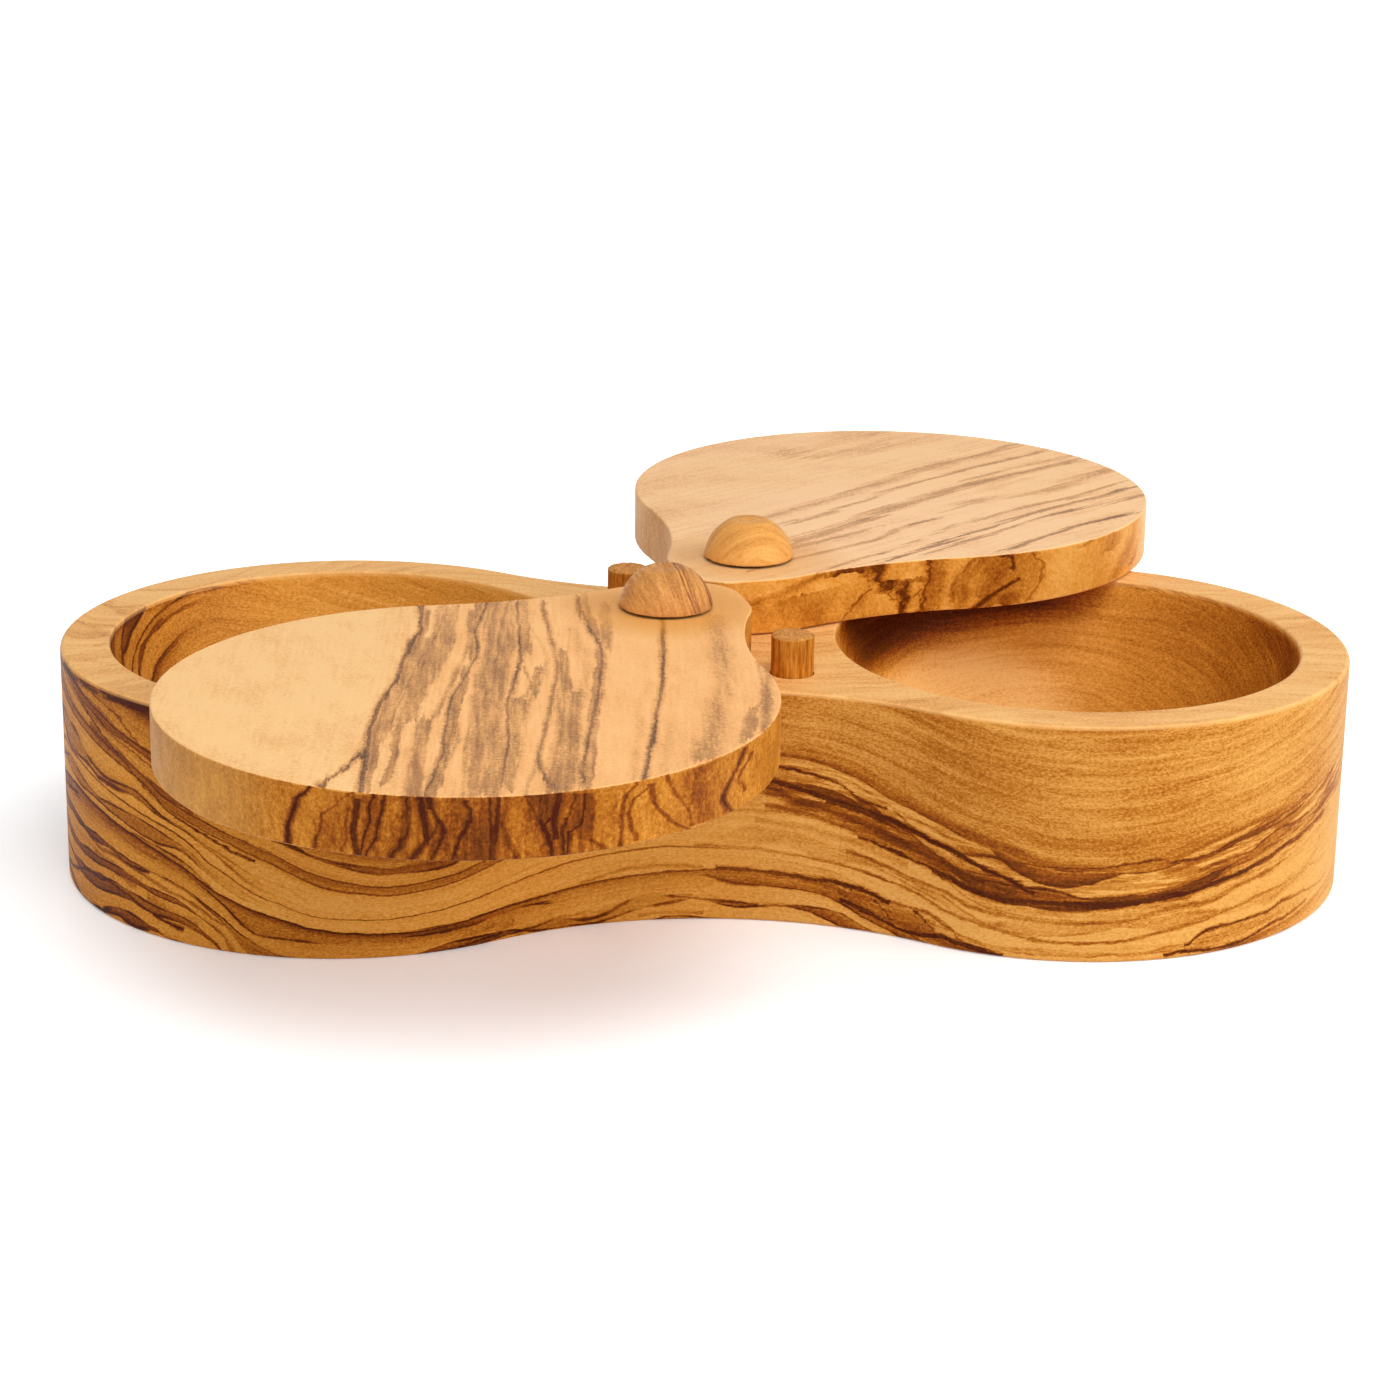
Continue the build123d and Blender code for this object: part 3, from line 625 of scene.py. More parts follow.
def block_wood(wood):
    """Olive wood of the block: its layers dip towards the front."""
    recipe = Finish("olive_block")
    place, x, y, z, facing = recipe.surface()
    sway = waver(place / (38, 38, 24))
    jag = waver(place / (8, 8, 2.6), 4, 0.66)
    nick = waver(place / (2.6, 2.6, 0.9), 3, 0.7)
    height = z - 0.3 * y + 1.6 * sway + 0.8 * jag + 0.5 * nick
    layer = layer_number(height, x + 8 * sway, BLOCK_LAYERS)

    side = x.between(-6, 18)
    left, right = layer.tone(BLOCK_LEFT_TONE), layer.tone(BLOCK_RIGHT_TONE)
    tone = left + (right - left) * side

    # Braided veins: under the main vein, over the whole left end, and low on the right half
    line, leaf, fade = braid(layer, x / 34, y / 34, 1.3, 2.6, 0.05)
    under = layer.fading(0.8, 0.98)
    end = x.fading(-100, -70)
    over = layer.between(3.1, 3.3) * (1 - side)
    plain = side * layer.between(3.85, 4.25)
    clean = layer.between(1.04, 1.1) * layer.fading(2.8, 2.9)
    figure = under.at_least(end * 0.85).at_least(over * 0.8).at_least(side * (0.8 - 0.5 * clean))
    figure = figure.at_least(spot(x, z, (-46, 2), (12, 4)) * 1.3)
    figure = (figure + 0.12) * (1 - plain)
    deep = side * layer.between(2.4, 3) * layer.fading(3.75, 4.05)
    ink = (line * 0.9).at_least(leaf * (0.34 + 0.2 * deep) + fade * 0.26) * figure
    streak = streaks(x / 9, y / 9, height / 0.8)
    lines = veins(x + 1.5 * nick, height + 0.6 * nick, BLOCK_VEINS, BLOCK_RUN, 2.3, 1.5)
    ink = ink.at_least(inked(lines, streak, 0.56, (0.56, 0.84)))

    # Heartwood is at the front and the left end; the rest is plain
    top = facing.between(*FLAT) * z.between(43, 43.4)
    bowl = spot(abs(x), y, (BOWL_MIDDLE, 0), (10, 10), BOWL_WALL) * (1 - top)
    outside = (1 - top) * (1 - bowl)
    heart = (0 - y - 0.35 * x).between(-22, 22) * 0.75 + 0.25
    # Tops keep less heartwood and take part of the flat palette: partly painted sheen
    heart *= (1 - 0.7 * top) * (1 - bowl * (0.2 + 0.66 * x.between(-108, -96)))
    tone = (tone.at_least(ink) * heart).at_most(1)
    tone *= 1 - 0.3 * spot(x, z, (-8, 12), (34, 12))
    tone *= 1 - 0.6 * spot(x, z, (-42, 40), (40, 14))

    # Fibres and pores, a darker belt under the plain wood of the right half, and the torn rim
    fibre = waver(vector(x / 30, y / 16, layer * 11), 5, 0.68)
    cloud = waver(place / (30, 24, 16))
    speck = waver(place * (1.6, 1.6, 3), 2, 0.75)
    tone += fibre * (0.45 + 0.4 * plain + 0.4 * top) + 0.3 * cloud + 0.8 * speck
    belt = deep * outside * streak.between(0.3, 0.7) * (0.26 + 0.08 * x.between(72, 92))
    tone += (0.08 + belt) * (1 - tone)
    tone += plain * (0.17 - 0.05 * x.between(70, 100)) * (1 - top)
    tone += bowl * (0.07 + 0.1 * fibre + 0.06 * (1 - side))
    # Darker walls and a paler rim towards the left end; the darker walls are partly painted shade,
    # where less light reaches that end
    tone += (0.1 - 0.16 * top) * x.fading(-108, -76)
    torn = z.between(41.6, 42.6) * z.fading(43.2, 43.4) * x.fading(-97, -88) * (1 - bowl)
    tone += torn * (nick + 0.2).between(0, 0.3) * 0.5

    # Painted shade and light in the right bowl: darkest at its right end and under the lid, and
    # lightest low on its left
    end = (x - BOWL_MIDDLE).between(10, 42) * 0.2 + 0.07 * x.between(52, 74)
    shaded = (z - 0.1 * (x - 30)).between(29, 36) * y.between(0, 20) * x.fading(66, 88) * 0.7
    light = spot(x, z, (46, 20), (34, 14)) ** 2
    tone += bowl * side * (0.04 + end.at_least(shaded) - 0.13 * light)

    # The painted light low in the right bowl also pales it towards the flat palette
    colour = wood_colour(tone, (top * 0.58).at_least(bowl * side * light * 0.4), wood)
    clear = side * tone.fading(0.16, 0.46) * outside
    colour = mix(colour, (0.66, 0.43, 0.15), clear * 0.24)
    # Painted highlight: the rounded edge is paled towards cream, as if catching the light
    painted_highlight = highlit_edge(facing) * z.between(43.1, 43.3) * (0.5 + speck)
    colour = mix(colour, wood.cream, painted_highlight * 0.5)
    return recipe.planed(colour, fibre, speck)


def left_lid_wood(wood):
    """Olive wood of the left lid: its layers stand upright and run from the pivot to the front."""
    recipe = Finish("olive_left_lid")
    place, x, y, z, facing = recipe.surface()
    top = facing.between(*FLAT)
    drift = waver(place / (10, 8, 6))
    jag = waver(place / (1.3, 1.8, 1.4), 4, 0.66)
    across = x + 0.8 * drift + jag

    # Veins and bands of the top run on down the walls, except in front
    front = (1 - top) * y.fading(-64, -56)
    streak = streaks(across / 0.9, y / 12, z / 6)
    ripple = waver(place / (2.6, 0.55, 0.8), 3, 0.7)
    bands = veins(
        y + 5 * (streak - 0.5), across + 1.2 * drift, LEFT_LID_BANDS, LEFT_LID_RUN, 1.9)
    bands = bands.between(0.1, 0.3)
    lines = veins(y + 4 * (streak - 0.5), across, LEFT_LID_VEINS, LEFT_LID_RUN)
    lines = inked(lines, streak, 0.55, (0.58, 0.9)) * 0.78
    wall = veins(z, across, LEFT_LID_WALL_VEINS, LID_WALL_RUN, 2.8, 0.6)
    tone = (bands * (0.32 + 0.2 * streak)).at_least(lines)
    tone += (inked(wall, streak, 0.46) - tone) * front

    figured = x.between(-60, -54) * x.fading(-24, -16)
    fibre = waver(vector(x * 1.1, y / 16, z / 6), 4, 0.65)
    cloud = waver(place / (9, 16, 12) + x * (0, 0.06, 0), 4, 0.62)
    speck = waver(place * (1.7, 1.4, 1.5), 3, 0.85)
    # The walls are darker than the top, partly as painted shade, partly as oil-darkened end grain
    base = 0.01 + 0.3 * (1 - top) + (0.12 - 0.06 * top) * figured
    base += 0.08 * x.between(-30, 0) * top + 0.08 * x.between(-66, -50) * y.fading(-105, -60)
    tone += base * (1 - tone) + fibre * (0.3 + 0.3 * figured) + 0.6 * cloud
    tone += 0.8 * speck * (1 - 0.24 * bands) + ripple * (0.16 + 0.08 * bands)
    plain = tone.fading(0.14, 0.5)

    colour = wood_colour(tone, top, wood)
    olive = x.fading(-80, -69) * (1 - top)
    colour = mix(colour, (0.62, 0.37, 0.12), olive * 0.24)
    colour = mix(colour, (0.98, 0.45, 0.15), 0.42 * x.between(-64, -40) * top * plain)
    # Painted highlight: the rounded edge is paled towards cream, as if catching the light
    painted_highlight = highlit_edge(facing) * (0.5 + speck) * plain
    colour = mix(colour, wood.cream, painted_highlight * 0.6)
    # Painted bounce light: the top is warmed towards gold about the pivot, as if lit from the cap
    glow = spot(x, y, LEFT_PIVOT, (10, 10), CAP_BOUNCE_REACH) * top
    colour = mix(colour, wood.gold, glow * 0.6)
    return recipe.planed(colour, fibre, speck, ripple)


def right_lid_wood(wood):
    """Olive wood of the right lid: straight streaks on a slant, and dark figures at the front."""
    recipe = Finish("olive_right_lid")
    place, x, y, z, facing = recipe.surface()
    top = facing.between(*FLAT)
    drift = waver(place / (16, 16, 8))
    jag = waver(place / (2, 2, 1.3), 4, 0.66)
    slant = radians(43)
    across = y * cos(slant) - x * sin(slant) + 1.2 * drift + 0.9 * jag
    along = x * cos(slant) + y * sin(slant)

    streak = streaks(along / 26, across / 1.1, z / 6)
    worn = along + 16 * (streak - 0.5)
    lines = veins(worn, across, RIGHT_LID_VEINS, RIGHT_LID_RUN, 2.6)
    pale = veins(worn, across, RIGHT_LID_PALE, RIGHT_LID_RUN, 2)
    tone = (lines * (0.8 + 0.6 * streak)).at_least(lines.between(0.4, 0.6) * (0.4 + 0.5 * streak))
    front = (y - 0.45 * x).fading(4, 12)
    bend = waver(place / (3.4, 3.4, 2.4), 3, 0.6)
    wall = veins(
        z + 3.4 * bend, x + 5 * bend + 1.6 * jag, RIGHT_LID_WALL_VEINS, LID_WALL_RUN, 2.8, 0.4)
    wall = inked(wall, streak, 0.6) * front * 0.76
    tone = wall + (tone - wall) * top

    band = waver(vector(along / 60, across / 4.2, 8), 4, 0.6)
    fibre = waver(vector(along / 34, across / 1.1, z / 5), 4, 0.66)
    cloud = waver(place / (16, 12, 14), 4, 0.62)
    speck = waver(place * (1.6, 1.3, 1.6), 3, 0.85)
    calm = spot(x, y, (22, 76), (42, 48))
    # The walls are darker than the top, partly as painted shade, partly as oil-darkened end grain
    tone += (0.15 - (0.08 + 0.05 * calm) * top) * (1 - tone)
    tone += 0.9 * (band + fibre) * (0.3 + (0.5 - 0.35 * calm) * top)
    tone += 0.6 * cloud + 0.8 * speck - 0.8 * pale * top
    tone += 0.1 * (across - 0.2 * along).between(16, 40) * top
    plain = tone.fading(0.14, 0.5)

    # The end walls take the paler flat palette: painted sheen, where side light grazes them
    end = (1 - top) * x.fading(-11, -5).at_least(x.between(86, 91))
    colour = wood_colour(tone, top.at_least(end * 0.9), wood)
    # Painted sheen: the top is paled towards pink-white, more in one broad patch
    painted_sheen = (0.3 + 0.12 * spot(x, y, (38, 44), (40, 34))) * top * (0.4 + 0.6 * plain)
    colour = mix(colour, (1, 0.66, 0.44), painted_sheen)
    # Painted highlight: the rounded edge is paled towards cream, as if catching the light
    painted_highlight = highlit_edge(facing) * (0.5 + speck) * plain
    colour = mix(colour, wood.cream, painted_highlight * 0.6)
    # Painted bounce light: the top is warmed towards gold about the pivot, as if lit from the cap
    glow = spot(x, y, RIGHT_PIVOT, (10, 10), CAP_BOUNCE_REACH) * top
    colour = mix(colour, wood.gold, glow * 0.4)
    return recipe.planed(colour, fibre, speck)


def cap_wood(name, wood, centre, turn, figure, warm, base):
    """Wood of a turned cap, with a few layers standing on a slant."""
    recipe = Finish(name)
    place, *_, facing = recipe.surface()
    x, y, z = (place - (centre.x / MM, centre.y / MM, CAP_MIDDLE)).parts()
    sway = waver(place / (8, 8, 8))
    across = x * cos(turn) + y * sin(turn) + 0.3 * z + 1.6 * sway
    line, _, fade = braid(across / 3.4, y / 20, z / 20, 1, 1.6)
    figured = across.between(*figure)
    fibre = waver(vector(across * 1.6, y / 5, z / 5), 4, 0.62)
    speck = waver(place * 2.2, 2, 0.7)
    tone = base + (line * 0.4).at_least(fade * 0.22) * figured + fibre * 0.7 + 0.4 * speck
    colour = wood_colour(tone, warm, wood)
    # Painted shadow: a tan-brown ring at the foot, for the shaded gap between cap and lid
    foot = z.fading(-2.7, -2.3)
    colour = mix(colour, wood.tan, foot * 0.5)
    # Painted shade: the underside goes near black
    colour = mix(colour, wood.vein, facing.fading(-0.8, -0.4))
    return recipe.oiled(colour, 0.44 + 0.2 * fibre, fibre + 0.5 * speck)


def dowel_wood(wood):
    """Straight-grained dowel with a pale sawn end."""
    recipe = Finish("dowel_wood")
    place, *_, facing = recipe.surface()
    fibre = waver(place * (1.5, 1.5, 1 / 9), 4, 0.65)
    speck = waver(place * (2.4, 2.4, 0.5), 2, 0.6)
    end = facing.between(*FLAT)
    tone = 0.4 + fibre * 0.95 + 0.3 * speck - 0.04 * end
    colour = wood_colour(tone, end * 0.4, wood)
    return recipe.oiled(colour, 0.62 + 0.2 * fibre, fibre + speck, strength=0.6)


def dowel_tree():
    """Geometry nodes of a fluted dowel with a rough sawn end."""
    tree = bpy.data.node_groups.new("fluted_dowel", "GeometryNodeTree")
    face = tree.interface
    face.new_socket("Geometry", in_out="OUTPUT", socket_type="NodeSocketGeometry")
    for name, kind in (
            ("Radius", "Float"), ("Height", "Float"), ("Place", "Vector"), ("Flutes", "Float"),
            ("Flute Depth", "Float"), ("Wear", "Float"), ("Seed", "Float"),
            ("Material", "Material")):
        face.new_socket(name, in_out="INPUT", socket_type="NodeSocket" + kind)
    recipe = Recipe(tree)
    given = recipe.add("NodeGroupInput").socket.node
    size = {socket.name: Wire(recipe, socket) for socket in given.outputs if socket.name}

    stick = recipe.add("GeometryNodeMeshCylinder", {
        "Vertices": 144, "Side Segments": 60, "Fill Segments": 8,
        "Radius": size["Radius"], "Depth": size["Height"],
    }, fill_type="TRIANGLE_FAN")
    place = recipe.add("GeometryNodeInputPosition")
    x, y, z = place.parts()
    shift = vector(size["Seed"] * 7, 0, 0)
    turn = recipe.add("ShaderNodeMath", {0: y, 1: x}, operation="ARCTAN2")
    bend = clouds(place * (500, 500, 60) + shift)
    flute = (turn * size["Flutes"] / tau + 0.5 * bend).off_whole() * 2
    torn = clouds(place * (900, 900, 160) + shift, 4, 0.7)
    groove = flute.fading(0, 0.5) * torn.between(0.34, 0.6)
    radius = (x * x + y * y) ** 0.5
    rim = (radius / size["Radius"]).between(0.86, 1) * (abs(z) * 2 / size["Height"]).above(0.985)
    cut = size["Flute Depth"] * groove + size["Wear"] * torn + RIM_CUT * rim
    scale = 0 - cut / size["Radius"]
    drop = (0 - size["Wear"] * 0.9 * torn - RIM_DROP * rim) * (z / size["Height"]).above(0.49)
    moved = recipe.add("GeometryNodeSetPosition", {
        "Geometry": stick, "Offset": vector(x * scale, y * scale, drop)})
    moved = recipe.add("GeometryNodeTransform", {"Geometry": moved, "Translation": size["Place"]})
    smooth = recipe.add("GeometryNodeSetShadeSmooth", {"Geometry": moved})
    whole = recipe.add("GeometryNodeRealizeInstances", {"Geometry": smooth})
    done = recipe.add("GeometryNodeSetMaterial", {"Geometry": whole, "Material": size["Material"]})
    recipe.add("NodeGroupOutput", {"Geometry": done})
    return tree


def new_object(name, data):
    """Puts new data into the scene."""
    obj = bpy.data.objects.new(name, data)
    bpy.context.scene.collection.objects.link(obj)
    return obj


def shape(name, tree, values):
    """Runs a geometry tree once, and keeps its result as a plain mesh."""
    obj = new_object(name, bpy.data.meshes.new(name))
    maker = obj.modifiers.new("maker", "NODES")
    maker.node_group = tree
    for item in tree.interface.items_tree:
        if item.in_out == "INPUT":
            maker[item.identifier] = values[item.name]
    obj.update_tag()
    bpy.context.view_layer.update()
    shaped = obj.evaluated_get(bpy.context.evaluated_depsgraph_get())
    mesh = bpy.data.meshes.new_from_object(shaped)
    obj.modifiers.clear()
    obj.data = mesh
    mesh.name = name
    return obj


def cap_profile(sizes, low, high):
    """Half outline of a domed cap, from its socket round to its centre mark."""
    reach, tall = (high.x - low.x) / 2, high.z - low.z
    flat, mark = sizes.cap_flat, sizes.cap_mark
    ball = (tall ** 2 + flat ** 2 - reach ** 2) / (2 * tall)
    dome = sqrt(reach ** 2 + ball ** 2)
    first, last = atan2(-ball, reach), atan2(tall - ball, flat)
    points = [(0, sizes.cap_socket_depth), (sizes.cap_socket, sizes.cap_socket_depth),
              (sizes.cap_socket, 0), (reach - 0.6 * MM, 0), (reach - 0.1 * MM, 0.2 * MM)]
    for step in range(1, DOME_STEPS - 1):
        way = first + (last - first) * step / DOME_STEPS
        points.append((dome * cos(way), ball + dome * sin(way)))
    # Rings that the lathe left on the flat, and its centre mark: radius, and depth below the top
    points += [(radius, tall - depth * MM) for radius, depth in (
        (flat - 0.1 * MM, 0.08), (flat - 0.4 * MM, 0), (flat - 0.9 * MM, 0.12),
        (flat - 1.6 * MM, 0.04), (mark + 0.3 * MM, 0.04), (mark, 0.12), (mark / 2, 0.3), (0, 0.36))]
    return [(r, z + low.z) for r, z in points]


def lathe(name, profile, centre, wear):
    """Turned piece: its profile goes round the axis, with a torn edge at its foot."""
    steps, foot = 160, min(z for _, z in profile)
    verts, rings, faces = [], [], []
    for r, z in profile:
        ring = []
        for step in range(steps if r else 1):
            way = tau * step / steps
            across, up = cos(way), sin(way)
            point = Vector((across * r, up * r, z))
            torn = noise.noise(point * 1500) * 0.6 + noise.noise(point * 3300) * 0.4
            low = max(0, 1 - (z - foot) / TORN_HEIGHT) if r > TORN_RADIUS else 0
            inward = wear * (0.16 + 0.1 * noise.noise(point * 420) + low * abs(torn))
            out = r - inward if r > WORN_RADIUS else r
            lift = wear * low * max(0, torn) if r > LIFTED_RADIUS else 0
            ring.append(len(verts))
            verts.append((centre.x + across * out, centre.y + up * out, z + lift))
        rings.append(ring)
    for lower, upper in pairwise(rings):
        for step in range(steps):
            after = (step + 1) % steps
            if len(lower) == 1:
                faces.append((lower[0], upper[after], upper[step]))
            elif len(upper) == 1:
                faces.append((lower[step], lower[after], upper[0]))
            else:
                faces.append((lower[step], lower[after], upper[after], upper[step]))
    mesh = bpy.data.meshes.new(name)
    mesh.from_pydata(verts, [], faces)
    shell = bmesh.new()
    shell.from_mesh(mesh)
    bmesh.ops.recalc_face_normals(shell, faces=shell.faces)
    shell.to_mesh(mesh)
    shell.free()
    mesh.shade_smooth()
    return new_object(name, mesh)


def settle(piece, node):
    """Puts a piece on the box in place of a CAD node."""
    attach(piece, "box")
    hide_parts(node)


def dress(obj, material):
    obj.data.materials.clear()
    obj.data.materials.append(material)


def tint(name, description, default):
    return FloatVectorProperty(
        name=name, description=description, default=default, subtype="COLOR", min=0, max=1)


def length(name, description, default):
    return FloatProperty(
        name=name, description=description, default=default * MM, subtype="DISTANCE")


def angle(name, description, default):
    return FloatProperty(
        name=name, description=description, default=radians(default), subtype="ANGLE")


def power(name, description, default):
    return FloatProperty(
        name=name, description=description, default=default, subtype="POWER", unit="POWER", min=0)


class SaltBoxWood(bpy.types.PropertyGroup):
    """Colours of the olive wood"""

    # The flat-top colours are paler and greyer than the wall ones, partly as painted light and
    # sheen
    cream: tint("Cream", "Palest sapwood, on flat tops", (0.98, 0.6, 0.255))
    peach: tint("Peach", "Clear wood on flat tops", (0.88, 0.46, 0.17))
    tan: tint("Tan", "Bands on flat tops", (0.6, 0.285, 0.095))
    grey: tint("Grey", "Figured patches on flat tops", (0.36, 0.16, 0.062))
    pale: tint("Pale", "Palest wood of the walls", (0.82, 0.415, 0.095))
    gold: tint("Gold", "Clear wood of the walls", (0.7, 0.29, 0.04))
    amber: tint("Amber", "Bands on the walls", (0.46, 0.155, 0.013))
    brown: tint("Brown", "Figured patches on the walls", (0.27, 0.063, 0.004))
    vein: tint("Vein", "Darkest line of a vein", (0.06, 0.007, 0.0005))


class SaltBoxSizes(bpy.types.PropertyGroup):
    """Sizes of the turned caps and the fluted pegs"""

    cap_flat: length("Cap Flat", "Radius of the flat on top of a cap", 3.4)
    cap_mark: length("Cap Mark", "Radius of the lathe's centre mark", 0.9)
    cap_socket: length("Cap Socket", "Radius of the hole for the pin", 4.05)
    cap_socket_depth: length("Cap Socket Depth", "Depth of the hole for the pin", 4.2)
    cap_wear: length("Cap Wear", "How far the foot of a cap is torn", 0.3)
    flutes: IntProperty(name="Flutes", description="Grooves round a peg", default=11, min=1)
    flute_depth: length("Flute Depth", "Depth of a groove", 0.3)
    peg_wear: length("Peg Wear", "Roughness of a peg", 0.22)


class SaltBoxStudio(bpy.types.PropertyGroup):
    """Camera, floor and light"""

    yaw: angle("Yaw", "Camera's way round the box from straight in front", -1.884)
    pitch: angle("Pitch", "Camera's height above the horizon", 17.845)
    roll: angle("Roll", "Camera's turn about its own line of sight", 0.939)
    distance: length("Distance", "Camera to the middle of the box", 650.8)
    lens: FloatProperty(
        name="Lens", description="Focal length on a 36 mm sensor", subtype="DISTANCE_CAMERA",
        default=88.907)
    sky: FloatProperty(
        name="Sky", description="Level of the light from all round", default=0.42, min=0)
    overhead: power("Overhead", "Power of the lamp above the front", 7)
    front: power("Front", "Power of the lamp in front", 4.5)
    key: power("Key", "Power of the lamp at the right", 5)
    fill: power("Fill", "Power of the lamp at the left", 1.2)
    floor: tint("Floor", "Colour of the floor", (0.95, 0.96, 0.97))


class SALTBOX_OT_block(bpy.types.Operator):
    """Give the block its olive wood"""

    bl_idname = "saltbox.block"
    bl_label = "Finish Block"

    def execute(self, context):
        dress(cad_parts["body"], block_wood(context.scene.saltbox_wood))
        return {"FINISHED"}


class SALTBOX_OT_lids(bpy.types.Operator):
    """Give both lids their olive wood"""

    bl_idname = "saltbox.lids"
    bl_label = "Finish Lids"

    def execute(self, context):
        wood = context.scene.saltbox_wood
        dress(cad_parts["left_lid"], left_lid_wood(wood))
        dress(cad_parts["right_lid"], right_lid_wood(wood))
        return {"FINISHED"}


class SALTBOX_OT_caps(bpy.types.Operator):
    """Give the pivot caps their wood"""

    bl_idname = "saltbox.caps"
    bl_label = "Finish Caps"

    def execute(self, context):
        wood, sizes = context.scene.saltbox_wood, context.scene.saltbox_sizes
        for side, turn, figure, warm, base in (
                ("left", 0.2, (-1, 3), 0.56, 0.37), ("right", 1.9, (0, 6), 0.3, 0.2)):
            low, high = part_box(f"{side}_pivot_cap")
            centre = (low + high) / 2
            cap = lathe(f"{side}_cap", cap_profile(sizes, low, high), centre, sizes.cap_wear)
            dress(cap, cap_wood(f"{side}_cap_wood", wood, centre, turn, figure, warm, base))
            settle(cap, f"{side}_pivot_cap")
        return {"FINISHED"}


class SALTBOX_OT_dowels(bpy.types.Operator):
    """Give the pins and stop pegs their wood"""

    bl_idname = "saltbox.dowels"
    bl_label = "Finish Dowels"

    def execute(self, context):
        material = dowel_wood(context.scene.saltbox_wood)
        for node in ("left_pivot_pin", "right_pivot_pin"):
            dress(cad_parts[node], material)
        sizes = context.scene.saltbox_sizes
        tree = dowel_tree()
        for seed, name in enumerate(("front_peg", "rear_peg")):
            node = name.replace("_", "_stop_")
            low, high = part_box(node)
            peg = shape(name, tree, {
                "Radius": (high.x - low.x) / 2, "Height": high.z - low.z, "Place": (low + high) / 2,
                "Flutes": sizes.flutes, "Flute Depth": sizes.flute_depth, "Wear": sizes.peg_wear,
                "Seed": seed, "Material": material,
            })
            settle(peg, node)
        return {"FINISHED"}


def area_lamp(name, energy, size, place, aim):
    data = bpy.data.lights.new(name, "AREA")
    data.energy = energy
    data.shape = "DISK"
    data.size = size
    lamp = new_object(name, data)
    lamp.location = place
    lamp.rotation_euler = (Vector(aim) - Vector(place)).to_track_quat("-Z", "Y").to_euler()


def floor_paint(colour):
    """White floor that keeps the box's shadow and fades to white round it."""
    recipe = Finish("floor_paint")
    _, x, y, *_ = recipe.surface()
    away = (x * x * 0.3 + y * y) ** 0.5
    glow = 0.24 + 0.26 * away.between(58, 110) + 0.5 * away.between(110, 500)
    paint = recipe.add("ShaderNodeBsdfPrincipled", {
        "Base Color": (*colour, 1), "Roughness": 0.4, "Specular IOR Level": 0.2,
        "Emission Color": glow * recipe.seen(), "Emission Strength": 1,
    })
    recipe.add("ShaderNodeOutputMaterial", {"Surface": paint})
    return recipe.material


def sky_light(level):
    """World that lights the box at a level, and is white to the camera."""
    world = bpy.data.worlds.new("studio")
    world.use_nodes = True
    recipe = Recipe(world.node_tree)
    strength = recipe.add("ShaderNodeMapRange", {"Value": recipe.seen(), "To Min": level})
    sky = recipe.add("ShaderNodeBackground", {"Strength": strength})
    recipe.add("ShaderNodeOutputWorld", {"Surface": sky})
    return world


def camera_turn(yaw, pitch, roll):
    """Axes of the camera, as the columns of a matrix."""
    back = Vector((sin(yaw) * cos(pitch), -cos(yaw) * cos(pitch), sin(pitch)))
    right = Vector((0, 0, 1)).cross(back).normalized()
    up = back.cross(right)
    right, up = right * cos(roll) + up * sin(roll), up * cos(roll) - right * sin(roll)
    return Matrix((right, up, back)).transposed()


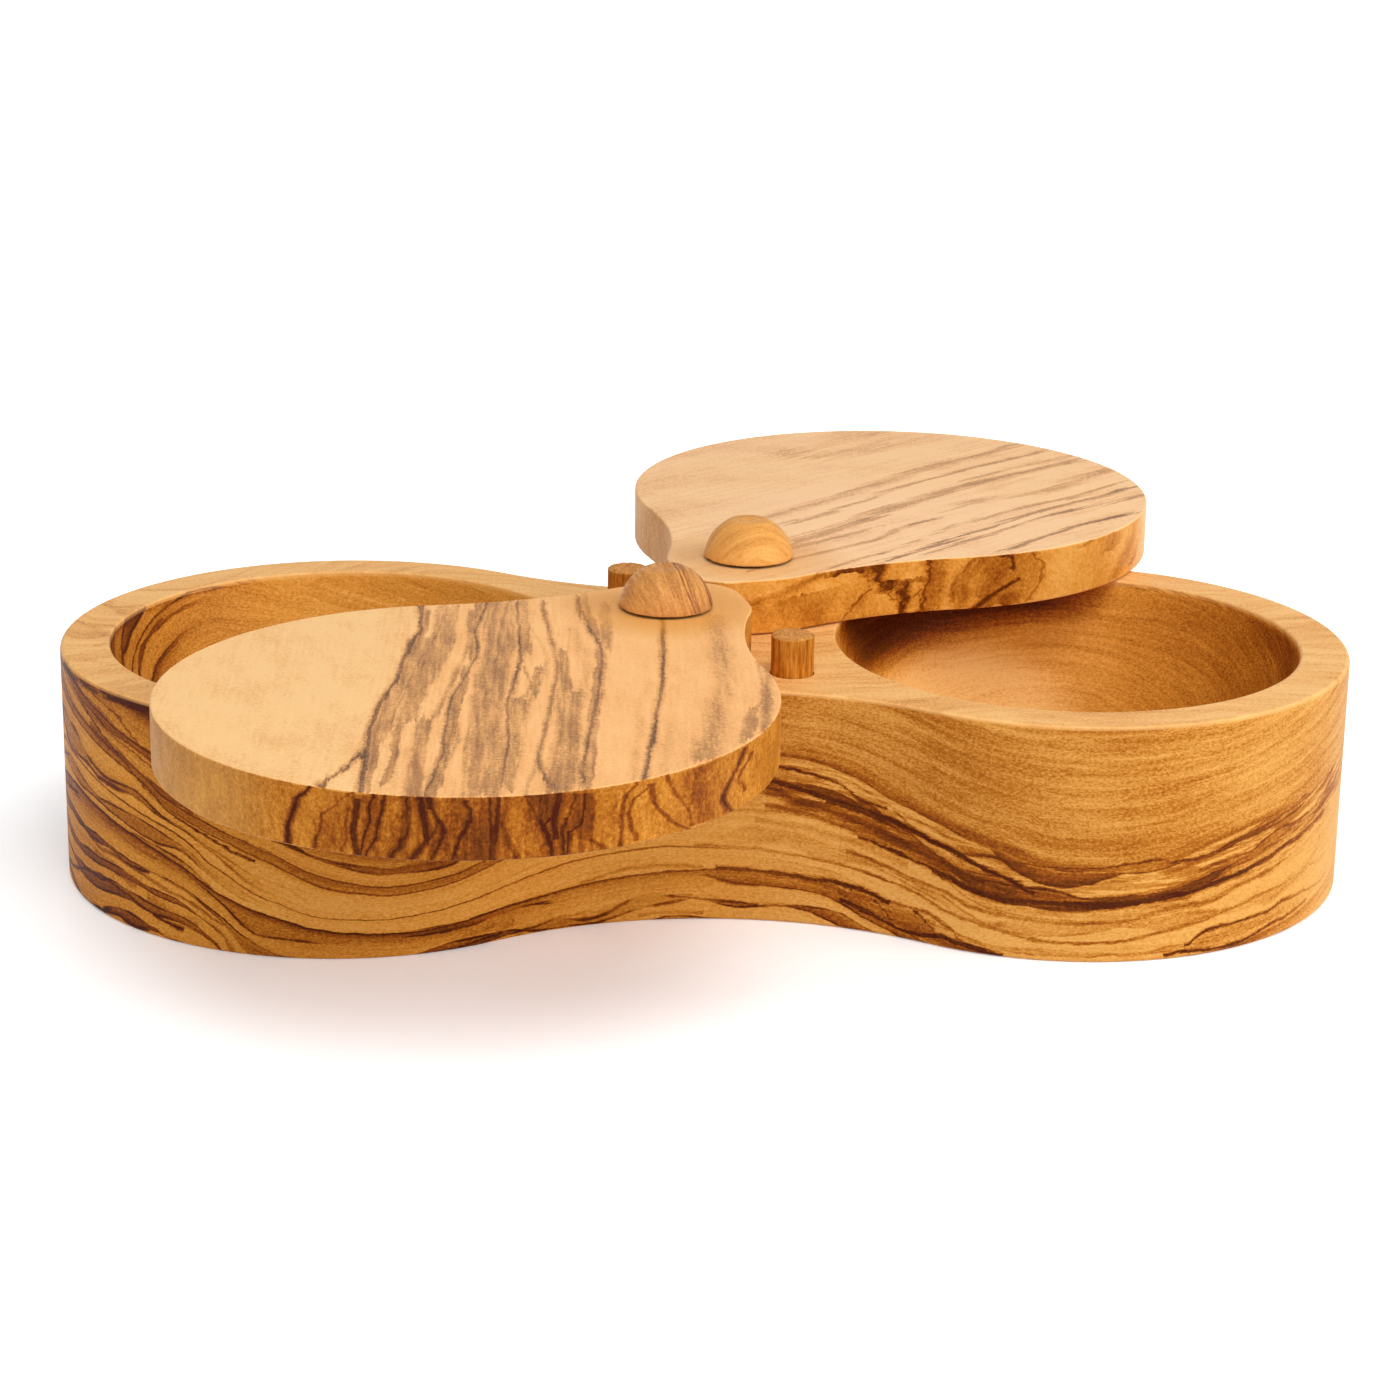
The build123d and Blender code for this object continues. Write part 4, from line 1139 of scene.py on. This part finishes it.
class SALTBOX_OT_stage(bpy.types.Operator):
    """Make the floor, the light and the camera"""

    bl_idname = "saltbox.stage"
    bl_label = "Set Stage"

    def execute(self, context):
        scene, studio = context.scene, context.scene.saltbox_studio
        mesh = bpy.data.meshes.new("floor")
        far = FLOOR_REACH
        mesh.from_pydata(
            [(-far, -far, 0), (far, -far, 0), (far, far, 0), (-far, far, 0)], [], [range(4)])
        floor = new_object("floor", mesh)
        dress(floor, floor_paint(studio.floor))

        scene.world = sky_light(studio.sky)
        area_lamp("overhead", studio.overhead, 0.9, (0.15, -0.55, 1.05), (0, 0, 0.03))
        area_lamp("front", studio.front, 0.9, (0.1, -1.35, 0.35), (0, 0, 0.02))
        area_lamp("key", studio.key, 0.6, (1, -0.3, 0.5), (0.03, 0, 0.03))
        area_lamp("fill", studio.fill, 0.6, (-1, -0.4, 0.5), (-0.03, 0, 0.03))

        data = bpy.data.cameras.new("camera")
        data.lens = studio.lens
        data.sensor_width = 36
        camera = new_object("camera", data)
        turn = camera_turn(studio.yaw, studio.pitch, studio.roll)
        place = Vector(CAMERA_AIM) + turn.col[2] * studio.distance
        camera.matrix_world = Matrix.Translation(place) @ turn.to_4x4()
        scene.camera = camera
        scene.view_settings.view_transform = "Standard"
        return {"FINISHED"}


class SALTBOX_PT_panel(bpy.types.Panel):
    """Steps that dress the salt box"""

    bl_idname = "SALTBOX_PT_panel"
    bl_label = "Salt Box"
    bl_space_type = "VIEW_3D"
    bl_region_type = "UI"
    bl_category = "Salt Box"

    def draw(self, context):
        for step in STEPS:
            self.layout.operator(step.bl_idname)
        for name, group in GROUPS.items():
            box = self.layout.box()
            for setting in group.__annotations__:
                box.prop(getattr(context.scene, name), setting)


STEPS = (SALTBOX_OT_block, SALTBOX_OT_lids, SALTBOX_OT_caps, SALTBOX_OT_dowels, SALTBOX_OT_stage)
GROUPS = {
    "saltbox_wood": SaltBoxWood, "saltbox_sizes": SaltBoxSizes, "saltbox_studio": SaltBoxStudio}
CLASSES = (*GROUPS.values(), *STEPS, SALTBOX_PT_panel)


def register():
    for cls in CLASSES:
        bpy.utils.register_class(cls)
    for name, group in GROUPS.items():
        setattr(bpy.types.Scene, name, PointerProperty(type=group))


def unregister():
    for name in GROUPS:
        delattr(bpy.types.Scene, name)
    for cls in reversed(CLASSES):
        bpy.utils.unregister_class(cls)


def main():
    register()
    bpy.ops.saltbox.block()
    bpy.ops.saltbox.lids()
    bpy.ops.saltbox.caps()
    bpy.ops.saltbox.dowels()
    bpy.ops.saltbox.stage()
    bpy.context.view_layer.update()


if __name__ == "__main__":
    main()
